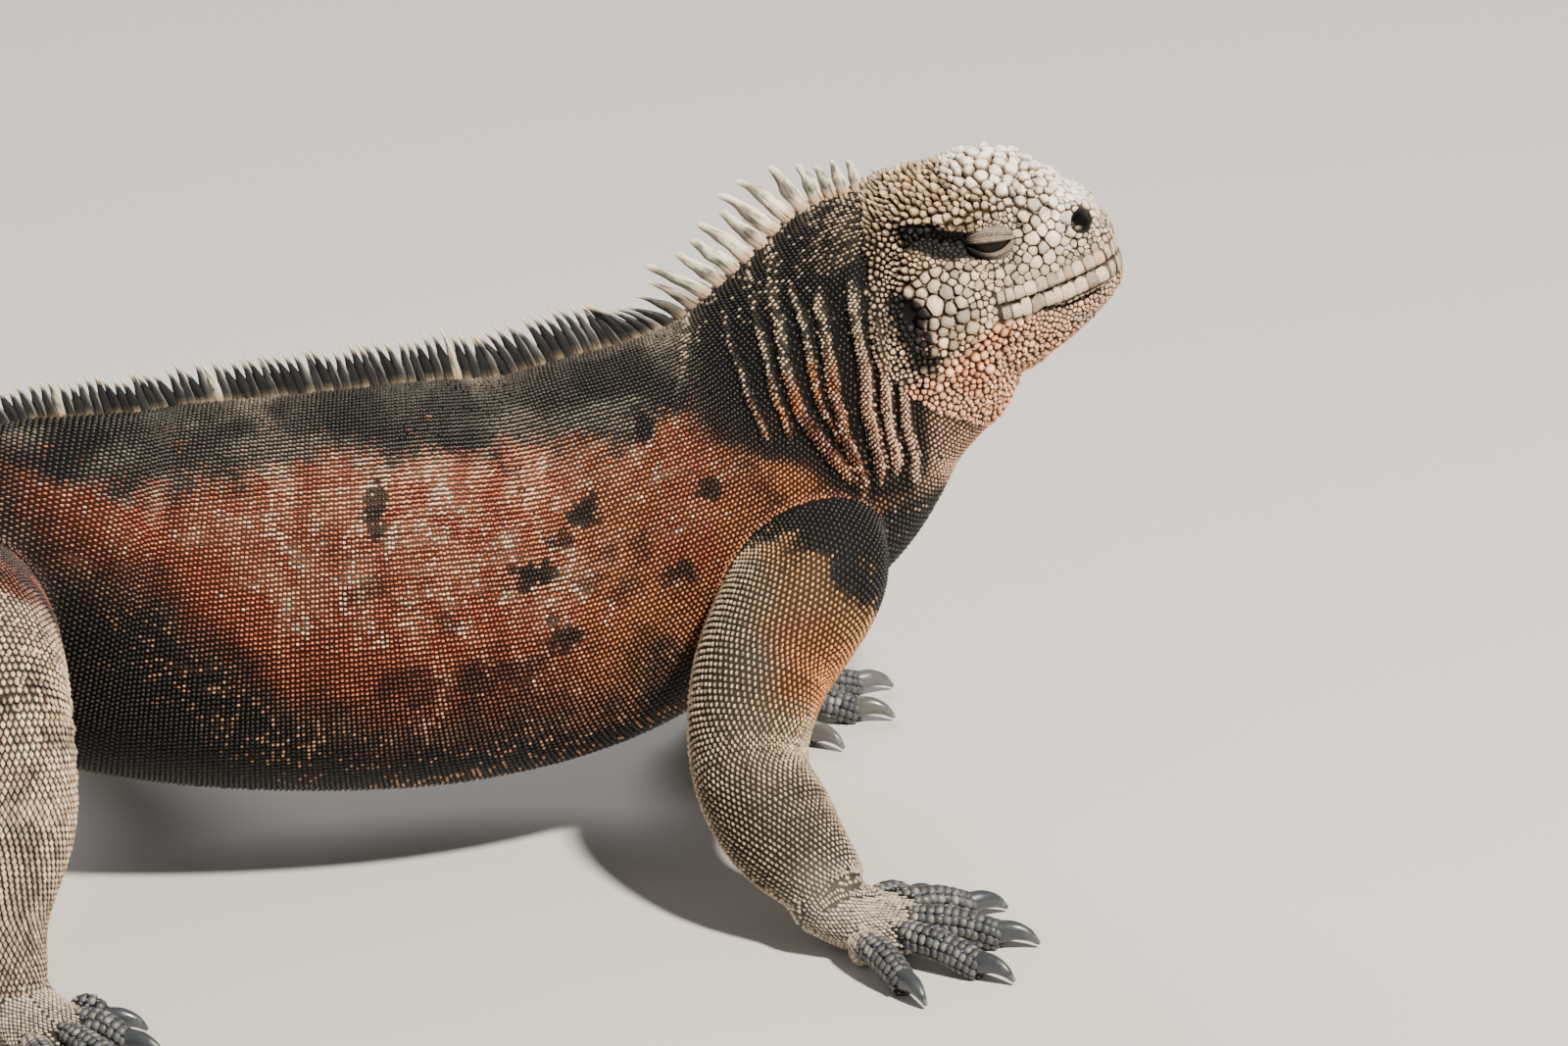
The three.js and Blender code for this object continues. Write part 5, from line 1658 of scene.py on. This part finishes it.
# Crest along the back: x, height, spacing, half width, half thickness, lean at the root, curl
CREST_ROWS = np.array([
    [-664, 2.0, 5.0, 1.0, 0.4, 0.7, 0.1],
    [-600, 4.6, 4.4, 1.5, 0.5, 0.6, 0.1],
    [-450, 6.6, 4.0, 1.9, 0.65, 0.5, 0.12],
    [-320, 8.2, 3.4, 1.9, 0.7, 0.4, 0.12],
    [-215, 9.4, 2.6, 1.7, 0.75, 0.16, 0.16],
    [-120, 12.8, 2.5, 1.75, 0.8, 0.10, 0.20],
    [-45, 14.4, 2.6, 1.8, 0.85, 0.1, 0.2],
    [-30, 10.5, 3.0, 1.7, 0.8, 0.35, 0.6],
    [-22, 13, 3.6, 1.9, 0.9, 0.16, 0.3],
    [-12, 17.6, 3.9, 2.35, 1.2, 0.05, 0.1],
    [0, 18, 4.0, 2.4, 1.25, 0.05, 0.08],
    [12, 14.2, 4.0, 2.3, 1.25, 0.05, 0.06],
    [19, 10, 3.7, 1.9, 1.1, 0.03, 0.06],
    [26, 8.5, 3.6, 1.8, 1.0, 0.03, 0.06],
])
SPINE_PROFILE = np.array([  # part of the height, part of the half width
    [-0.2, 0.95], [0.02, 1.0], [0.12, 1.0], [0.22, 1.0], [0.33, 0.97], [0.44, 0.88], [0.54, 0.72],
    [0.63, 0.56], [0.72, 0.44], [0.81, 0.35], [0.9, 0.28], [0.96, 0.21], [0.992, 0.11],
])
SPINE_COLUMNS = 10
NAPE_START = -20
HORN_DARK = np.array([0.013, 0.013, 0.013])
HORN_FACE = np.array([0.22, 0.20, 0.175])
HORN_TIP = np.array([0.70, 0.58, 0.42])
HORN_ROOT = np.array([0.34, 0.26, 0.16])
BONE = np.array([0.82, 0.72, 0.54])
BONE_SHADE = np.array([0.055, 0.052, 0.05])
BONE_ROOT = np.array([0.50, 0.29, 0.14])


def ridge_frame(x):
    """The ridge of the back at places along x: roots, then the directions along, up and aside."""
    fine = np.linspace(0, 1, 4000)
    t = np.interp(x, TRUNK.point(fine, np.full_like(fine, np.pi / 2))[:, 0], fine)
    top = np.full_like(t, np.pi / 2)
    along = unit(TRUNK.point(t + 0.004, top) - TRUNK.point(t - 0.004, top))
    up = level_with(TRUNK.frame(t)[2], along)
    return TRUNK.point(t, top) - up * COAT_DEPTH, along, up, np.cross(up, along)


def spine_colours(x, level, around):
    """Spines of the back are horn with a pale tip, those of the nape bone with painted shade in dark
    streaks over their rear faces, and both are brown at the root. level and around are the places
    of one spine's vertices."""
    chance = RNG.random((3, len(x), 1, 1))
    level, around = level[None, :, None], around[None, :, None]
    horn = HORN_DARK * (0.6 + 1.2 * chance[1]) * np.ones_like(level)
    face = smooth(np.cos(around + 0.5 * chance[2]), 0.55, 0.95) * bell(level, 0.45, 0.35)
    horn = blend(horn, HORN_FACE, (face * (chance[1] > 0.45))[..., 0])
    horn = blend(horn, HORN_TIP, smooth(level, 0.74, 0.92)[..., 0])
    horn = blend(horn, HORN_ROOT, ((1 - smooth(level, 0.04, 0.16)) * chance[2])[..., 0])
    bone = BONE * (0.8 + 0.3 * chance[1]) * np.ones_like(level)
    # painted shade: the rear faces of the nape spines are darkened in streaks
    wave = 0.5 * np.sin(8 * level + 6.3 * chance[0]) + 0.35 + 0.6 * chance[2]
    shade = smooth(wave - np.cos(around), 0.35, 0.9) * smooth(level, 0.12, 0.3)
    shade = shade * (1 - smooth(level, 0.85, 0.97))
    bone = blend(bone, BONE_SHADE, (shade * 0.85)[..., 0])
    bone = blend(bone, BONE_ROOT, ((1 - smooth(level, 0.06, 0.26)) * 0.8)[..., 0])
    pale = np.maximum(smooth(x, -27, -12)[:, None, None], 0.8 * (chance[0] > 0.94))
    return (horn * (1 - pale) + bone * pale).reshape(-1, 3)


def make_crest():
    """One row of flat curved spines on the ridge of the back, from the nape to the tail's tip.
    A spine is its profile's width carried up by h·s, back by h·(lean·s + curl·s²) and aside."""
    sites = [CREST_ROWS[-1, 0]]
    while sites[-1] > CREST_ROWS[0, 0]:
        sites.append(sites[-1] - np.interp(sites[-1], CREST_ROWS[:, 0], CREST_ROWS[:, 2]))
    x = np.array(sites)
    height, _, wide, thick, lean, curl = (
        np.interp(x, CREST_ROWS[:, 0], CREST_ROWS[:, k]) for k in range(1, 7)
    )
    nape = x > NAPE_START
    height = height * jittered(len(x), np.where(nape, 0.42, 0.2))
    lean = lean + np.where(nape, 0.16, 0.08) * (RNG.random(len(x)) - 0.5)
    curl = curl + 0.12 * (RNG.random(len(x)) - 0.5)
    aside = 0.16 * (RNG.random(len(x)) - 0.5)
    root, along, up, side = ridge_frame(x)
    gain = up[:, 2] - along[:, 2] * (lean + curl) + 0.1
    height = np.minimum(height, (CAD_BOX[1][2] / MM - 0.3 - root[:, 2]) / gain)

    phase = RNG.random((len(x), 3, 1, 1)) * 2 * np.pi
    turn = circle(SPINE_COLUMNS)
    s, part = (column[None, :, None] for column in SPINE_PROFILE.T)
    h, w, k, lean, curl, aside = (
        values[:, None, None] for values in (height, wide, thick, lean, curl, aside)
    )
    blunt, knob, wavy = (
        np.where(nape, *values)[:, None, None] for values in ((0.5, 1.0), (0.065, 0.03), (0.035, 0.012))
    )
    knobs = knob * (np.sin(9 * s + phase[:, 0]) + np.sin(17 * s + phase[:, 1]))
    flat = part**blunt * w * (1 + knobs) * np.sign(np.cos(turn)) * np.abs(np.cos(turn)) ** 0.8
    deep = (0.35 + 0.65 * part) * k * np.sin(turn) * np.where(s > 0.9, part / 0.42, 1)
    rise = h * s - 0.04 * h * s * flat / w
    back = h * (lean * s + curl * s * s + wavy * np.sin(6 * s + phase[:, 2]) * s)
    grid = (
        root[:, None, None]
        + up[:, None, None] * rise[..., None]
        + along[:, None, None] * (flat - back)[..., None]
        + side[:, None, None] * (deep + h * aside * s * s)[..., None]
    )
    low = root - up * (0.22 * height)[:, None]
    end = grid[:, -1].mean(1)
    tip = end + unit(end - grid[:, -3].mean(1)) * (0.02 * height)[:, None]
    points = np.concatenate([grid.reshape(len(x), -1, 3), low[:, None], tip[:, None]], 1)
    count = points.shape[1]
    rings = len(SPINE_PROFILE)
    triangles = copies(outwards(points[0], closed_triangles(rings, SPINE_COLUMNS)), len(x), count)
    level = np.append(np.repeat(SPINE_PROFILE[:, 0], SPINE_COLUMNS), [-0.2, 1.0])
    around = np.append(np.tile(turn, rings), [0, 0])
    pigment = spine_colours(x, level, around)

    obj = new_object("crest_spines", points.reshape(-1, 3), triangles, SPINE_PAINT)
    write_colour(obj, "pigment", pigment)
    write_float(obj, "rise", np.tile(np.clip(level, 0, 1), len(x)))
    write_float(obj, "streak", np.cos(around)[None] * 0.5 + RNG.random((len(x), 1)) * 2 * np.pi)
    u = 0.01 + 0.98 * (x - x.min()) / np.ptp(x)
    write_bake_map(
        obj, triangles,
        np.repeat(u, count) + np.tile(np.cos(around), len(x)) * PATCH,
        0.5 + np.tile(level, len(x)) * 2 * PATCH,
    )
    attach(obj, "root")


def make_claws():
    """Curved claws, one piece for all twenty."""
    meshes, pigments, rises = [], [], []
    for name, foot in FEET.items():
        for claw in foot.claws:
            grid, ends = claw.grid(26, 20, (0.6, 0.35), cap_rings=3)
            meshes.append(capped(grid, ends))
            rise = np.append(np.repeat(np.linspace(0, 1, grid.shape[0]), 20), [0, 1])
            rises.append(rise)
            grey = CLAW_PALE if name == "hand_left" else CLAW_GREY
            pigments.append(np.tile(grey * jittered(1, 0.2), (len(rise), 1)))
    obj = new_object("claws", *joined(meshes), CLAW_PAINT)
    write_colour(obj, "pigment", np.concatenate(pigments))
    write_float(obj, "rise", np.concatenate(rises))
    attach(obj, "root")
    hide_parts(*[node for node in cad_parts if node.startswith("claw_")])


# Materials


class Wire:
    """A socket's value. Arithmetic on it adds Math nodes to its material."""

    def __init__(self, paint, socket):
        self.paint, self.socket = paint, socket

    def math(self, operation, *others):
        """A Math node on this value and others."""
        return self.paint.add("ShaderNodeMath", {"operation": operation}, dict(enumerate((self, *others))))

    def __add__(self, other):
        return self.math("ADD", other)

    def __sub__(self, other):
        return self.math("SUBTRACT", other)

    def __rsub__(self, other):
        return self.paint.add("ShaderNodeMath", {"operation": "SUBTRACT"}, {0: other, 1: self})

    def __mul__(self, other):
        return self.math("MULTIPLY", other)

    __radd__, __rmul__ = __add__, __mul__

    def between(self, low, high, to_low=0.0, to_high=1.0):
        """0 below low, 1 above high, or between other limits."""
        names = {"Value": self, "From Min": low, "From Max": high, "To Min": to_low, "To Max": to_high}
        return self.paint.add("ShaderNodeMapRange", {"interpolation_type": "SMOOTHSTEP"}, names)


class Paint:
    """A material and the making of its nodes."""

    def __init__(self, name, **shader):
        self.material = bpy.data.materials.new(name)
        self.material.use_nodes = True
        self.tree = self.material.node_tree
        self.done(**shader)

    def done(self, **sockets):
        """Sets or links sockets of the shader, and gives the material."""
        named = {key.replace("_", " "): value for key, value in sockets.items()}
        self.set(self.tree.nodes["Principled BSDF"], named)
        return self.material

    def set(self, node, values):
        """Sets or links sockets, named by identifier, name or number."""
        for key, value in values.items():
            found = [socket for socket in node.inputs if key in (socket.identifier, socket.name)]
            socket = node.inputs[key] if isinstance(key, int) else found[0]
            if isinstance(value, Wire):
                self.tree.links.new(value.socket, socket)
            else:
                socket.default_value = value

    def add(self, kind, settings=None, values=None, output=0):
        """Any node: its type, its settings, the values or links of its sockets, its output."""
        node = self.tree.nodes.new(kind)
        for key, value in (settings or {}).items():
            setattr(node, key, value)
        self.set(node, values or {})
        return Wire(self, node.outputs[output])

    def attribute(self, name, output="Fac"):
        """What was written for each vertex under that name."""
        return self.add("ShaderNodeAttribute", {"attribute_name": name}, output=output)

    def noise(self, scale, detail, place=None):
        """Noise over the object's metres, or over another place."""
        place = place or self.add("ShaderNodeTexCoord", output="Object")
        return self.add("ShaderNodeTexNoise", None, {"Vector": place, "Scale": scale, "Detail": detail})

    def mix(self, share, a, b, kind="MIX"):
        """a where share is 0 and b where it is 1."""
        settings = {"data_type": "RGBA", "blend_type": kind}
        values = {"Factor_Float": share, "A_Color": a, "B_Color": b}
        return self.add("ShaderNodeMix", settings, values, output=2)

    def bump(self, height, strength, distance):
        """A normal from a height, which stands for that distance in metres."""
        values = {"Height": height, "Strength": strength, "Distance": distance}
        return self.add("ShaderNodeBump", None, values)


def grey(value):
    """A grey colour."""
    return (value, value, value, 1)


def skin_paint():
    """The skin between the scales: the markings, darkened towards black as painted shade between the scales
    except under salt, with fine creases.
    """
    paint = Paint("skin_between_scales", IOR=1.4, Specular_IOR_Level=0.15)
    pigment, bare = paint.attribute("pigment", "Color"), paint.attribute("bare")
    creases = paint.noise(900, 3)
    return paint.done(
        # painted shade: the skin between the scales goes to near black where bare is low
        Base_Color=paint.mix(bare, grey(0.002), pigment),
        Roughness=creases.between(0.3, 0.7, 0.6, 0.85),
        Normal=paint.bump(creases, 0.5, 0.0003),
    )


def horn_paint(name, crust_size, crust_depth, roughness, specular, foot_range, foot_tone, pitted):
    """Horny scales: the markings, darkened at the foot as painted shade between the scales (over
    foot_range of the rise, times foot_tone), with a painted highlight at the top, pitted crust
    and fine grain."""
    paint = Paint(name, IOR=1.5, Specular_IOR_Level=specular)
    pigment, top = paint.attribute("pigment", "Color"), paint.attribute("highlight_and_wear", "Color")
    rise, tint = paint.attribute("rise"), paint.attribute("tint")
    # painted shade: the foot of each scale is darkened towards foot_tone
    foot = paint.mix(1.0, pigment, foot_tone, "MULTIPLY")
    colour = paint.mix(rise.between(*foot_range), foot, pigment)
    # painted highlight: the top of each scale is mixed towards its paler top colour
    colour = paint.mix(rise.between(0.65, 1.0) * tint.between(0.0, 1.0, 0.45, 1.0), colour, top)
    crust = paint.noise(crust_size, 5)
    pits = crust.between(0.52, 0.7, 0.0, pitted)
    colour = paint.mix(pits, colour, paint.mix(1.0, colour, grey(0.3), "MULTIPLY"))
    toned = {"Color": colour, "Value": tint.between(0, 1, 0.78, 1.2)}
    grain = paint.noise(1600, 3)
    return paint.done(
        Base_Color=paint.add("ShaderNodeHueSaturation", None, toned),
        Roughness=grain.between(0.3, 0.7, *roughness),
        Normal=paint.bump(grain * 0.5 + crust, 0.6, crust_depth),
    )


def spine_paint():
    """Crest spines: horn with dark streaks that run up them."""
    paint = Paint("crest_horn", IOR=1.5, Specular_IOR_Level=0.28)
    pigment = paint.attribute("pigment", "Color")
    rise, streak = paint.attribute("rise"), paint.attribute("streak")
    dark = paint.mix(1.0, pigment, grey(0.2), "MULTIPLY")
    lengthwise = paint.add("ShaderNodeCombineXYZ", None, {0: streak * 1.9, 1: rise * 0.8})
    lines = paint.noise(2.6, 3, lengthwise).between(0.5, 0.66)
    colour = paint.mix(lines * (0.95 - 0.8 * rise.between(0.7, 1.0)), pigment, dark)
    grain = paint.noise(600, 3)
    return paint.done(
        Base_Color=colour,
        Roughness=grain.between(0.3, 0.7, 0.4, 0.6),
        Normal=paint.bump(lines + grain * 0.6, 0.35, 0.0003),
    )


def claw_paint():
    """Claws: polished dark horn with lengthwise fibres, worn paler towards the tip."""
    paint = Paint("claw_horn", IOR=1.54)
    pigment, rise = paint.attribute("pigment", "Color"), paint.attribute("rise")
    fibres = paint.noise(420, 4)
    highlight_and_wear = paint.mix(0.3, pigment, (0.5, 0.46, 0.4, 1))
    colour = paint.mix(rise.between(0.55, 1.0) * fibres.between(0.35, 0.7), pigment, highlight_and_wear)
    return paint.done(
        Base_Color=colour,
        Roughness=fibres.between(0.3, 0.7, 0.22, 0.42),
        Normal=paint.bump(fibres, 0.25, 0.0002),
    )


def eye_paint():
    """A wet eye, darkened overall as painted shade of its socket: black pupil, brown iris with rays, dark
    white.
    """
    paint = Paint("eye", Coat_Weight=0.05, Coat_Roughness=0.08, IOR=1.2)
    across = paint.attribute("from_pupil")
    rays = paint.noise(900, 2)
    iris = paint.mix(rays.between(0.35, 0.7), (0.005, 0.003, 0.002, 1), (0.015, 0.008, 0.004, 1))
    colour = paint.mix(across.between(0.28, 0.34), grey(0.004), iris)
    colour = paint.mix(across.between(0.62, 0.7), colour, (0.014, 0.011, 0.009, 1))
    return paint.done(Base_Color=colour, Roughness=0.16)


def floor_paint():
    """A plain warm grey."""
    return Paint("floor").done(Base_Color=(0.62, 0.60, 0.57, 1), Roughness=0.7)


# painted shade at the feet of scales (grey 0.22) and plates (dark brown), and a painted highlight at their
# tops
COAT_PAINT = horn_paint("scales", 420, 0.00025, (0.36, 0.6), 0.45, (0.2, 0.7), grey(0.22), 0.5)
PLATE_PAINT = horn_paint("plates", 700, 0.0007, (0.5, 0.8), 0.25, (0.2, 0.85), (0.28, 0.19, 0.12, 1), 0.4)
EYE_PAINT = eye_paint()
SPINE_PAINT = spine_paint()
CLAW_PAINT = claw_paint()


def mark_skin(skin):
    """The markings of the skin, and how much they show through the painted shade between the
    scales: most under salt, some on the lips and little elsewhere."""
    points, _ = read_points(skin)
    region, t, _ = regions_of(points)
    write_colour(skin, "pigment", colour_of(points, region, t, speckle(points, 1.6, 31)))
    head = body_to_head(points)
    # bare: the share of the markings that shows through the painted shade between the scales
    bare = 0.06 + 0.7 * salt_share(points) * (head[:, 2] > 18)
    off_mouth = np.abs(head[:, 2] - mouth_height(head[:, 0]) + 0.1)
    lips = smooth(off_mouth, 0.25, 0.6) * (1 - smooth(off_mouth, 5.2, 5.8)) * smooth(head[:, 0], 0, 4)
    bare = np.maximum(bare, 0.5 * lips)
    write_float(skin, "bare", np.maximum(bare, 0.16 * (1 - smooth(ankle_gap(points), 10, 16))))
    skin.data.materials.append(skin_paint())
    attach(skin, "root")
    flesh = [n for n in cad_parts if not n.startswith(("claw_", "eye_"))]
    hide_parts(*flesh)


def along_tube(*places):
    """A pitch as a function of t: pairs of t and millimetres, joined by straight lines."""
    return lambda t: np.interp(t, *zip(*places))


def same(*parts):
    """A shape that is the same everywhere."""
    return lambda t, angle: parts


def flank_shape(t, angle):
    """Narrow scales in lines on the back, round beads on the flanks, flat ones on the belly."""
    back = smooth(np.sin(angle), 0.55, 0.85)
    under = smooth(-np.sin(angle), 0.2, 0.6)
    return 0.51 + 0.16 * back, 0.49 - 0.04 * back, 0.52 - 0.1 * back - 0.16 * under


def arm_shape(t, angle):
    """Oval beads, wider and closer together towards the wrist."""
    low = smooth(t, 0.55, 0.85)
    return 0.56 + 0.08 * low, 0.41 + 0.07 * low, 0.4 - 0.06 * low


TRUNK_PITCH = along_tube((0, 1.8), (0.1, 2.3), (0.33, 2.4), (0.45, 1.8), (0.55, 1.42), (0.8, 1.36), (1, 1.3))
LIMB_PITCH = along_tube((0, 1.35), (0.4, 1.75), (0.7, 1.6), (1, 1.35))
PALM_PITCH = along_tube((0, 1.35), (1, 1.35))
DIGIT_PITCH = along_tube((0, 1.5), (0.3, 3.0), (0.8, 2.7), (1, 2.2))
TAIL_START, TAIL_END = 0.004, 0.44


def make_coat(skin):
    """Rows of scales on the tail, the body, the limbs, the palms and the digits."""
    coat_tube(
        "scales_tail", TRUNK, SHINGLE, TRUNK_PITCH, same(0.62, 0.46, 0.34), skin, "body_scales",
        t_range=(TAIL_START, TAIL_END), pieces=2, row_gap=0.95, stagger=0,
    )
    coat_tube(
        "scales_body", TRUNK, BEAD, TRUNK_PITCH, flank_shape, skin, "body_scales", belly=1.6,
        t_range=(TAIL_END, 1), keep=lambda place: ~in_head(place), pieces=4, row_gap=1.0, stagger=0.1,
    )
    for kind, limbs, form, shape in (
        ("arm", ARMS, BEAD, arm_shape),
        ("leg", LEGS, SHINGLE, same(0.68, 0.5, 0.36)),
    ):
        for name, limb in limbs.items():
            coat_tube(
                f"scales_{kind}_{name}", run_on(limb, 9, 1), form, LIMB_PITCH, shape, skin, "limb_scales",
                row_gap=1.0,
            )
    for name, foot in FEET.items():
        coat_tube(f"scales_{name}", foot.palm, SHINGLE, PALM_PITCH, same(0.6, 0.5, 0.3), skin, "limb_scales")
        for k, digit in enumerate(foot.digits, 1):
            coat_tube(
                f"scales_{name}_digit_{k}", run_on(digit, 2.4, 0.72), SCUTE, DIGIT_PITCH,
                same(0.5, 0.53, 0.24), skin, "limb_scales", row_gap=0.74, stagger=0,
            )


# Camera, light and floor

TARGET = np.array([0, 0, 84.0])
CAMERA_DISTANCE = 1.802
CAMERA_ELEVATION = math.radians(20)
CAMERA_ROLL = math.radians(4)
LIT = (0.2, 0, 0.1)  # what the lamps are aimed at
FLOOR_REACH = 6000.0


def aim(obj, place, target, roll=0.0):
    """Puts an object at a place, looking down its own -Z at the target."""
    back = Vector(place) - Vector(target)
    turn = back.to_track_quat("Z", "Y").to_matrix() @ Matrix.Rotation(roll, 3, "Z")
    obj.matrix_world = Matrix.Translation(place) @ turn.to_4x4()


def make_camera():
    """A long lens that looks down at the animal's right side, as in the photo."""
    data = bpy.data.cameras.new("camera")
    data.lens, data.sensor_width = 150, 36
    camera = bpy.data.objects.new("camera", data)
    bpy.context.collection.objects.link(camera)
    target = TARGET * MM + SHIFT
    away = np.array([0, -math.cos(CAMERA_ELEVATION), math.sin(CAMERA_ELEVATION)])
    aim(camera, target + away * CAMERA_DISTANCE, target, -CAMERA_ROLL)
    bpy.context.scene.camera = camera


def make_light(name, place, size, power, colour=(1, 1, 1)):
    """A round area lamp aimed at the animal."""
    data = bpy.data.lights.new(name, "AREA")
    data.shape, data.size, data.energy, data.color = "DISK", size, power, colour
    light = bpy.data.objects.new(name, data)
    bpy.context.collection.objects.link(light)
    aim(light, place, LIT)


def make_stage():
    """A plain pale floor, a bright plain background and soft lamps."""
    corners = np.array([[-1, -1, 0], [1, -1, 0], [1, 1, 0], [-1, 1, 0]]) * FLOOR_REACH
    floor = new_object("floor", corners - SHIFT / MM, np.array([[0, 1, 2], [0, 2, 3]]), floor_paint())
    make_light("key", (1.5, -1.5, 2.2), 0.25, 225, (1, 0.94, 0.84))
    make_light("fill", (-1.8, -2.2, 1.1), 4.0, 12, (0.94, 0.97, 1))
    make_light("rim", (-0.4, 2.4, 1.9), 1.4, 38)
    world = bpy.data.worlds.new("studio")
    world.use_nodes = True
    background = world.node_tree.nodes["Background"].inputs
    background["Color"].default_value = (0.9, 0.89, 0.87, 1)
    background["Strength"].default_value = 0.27
    bpy.context.scene.world = world


skin = make_skin()
mark_skin(skin)
make_coat(skin)
make_head_plates(skin)
fill_gaps(skin)
make_lids()
make_eyes()
make_crest()
make_claws()
make_stage()
make_camera()
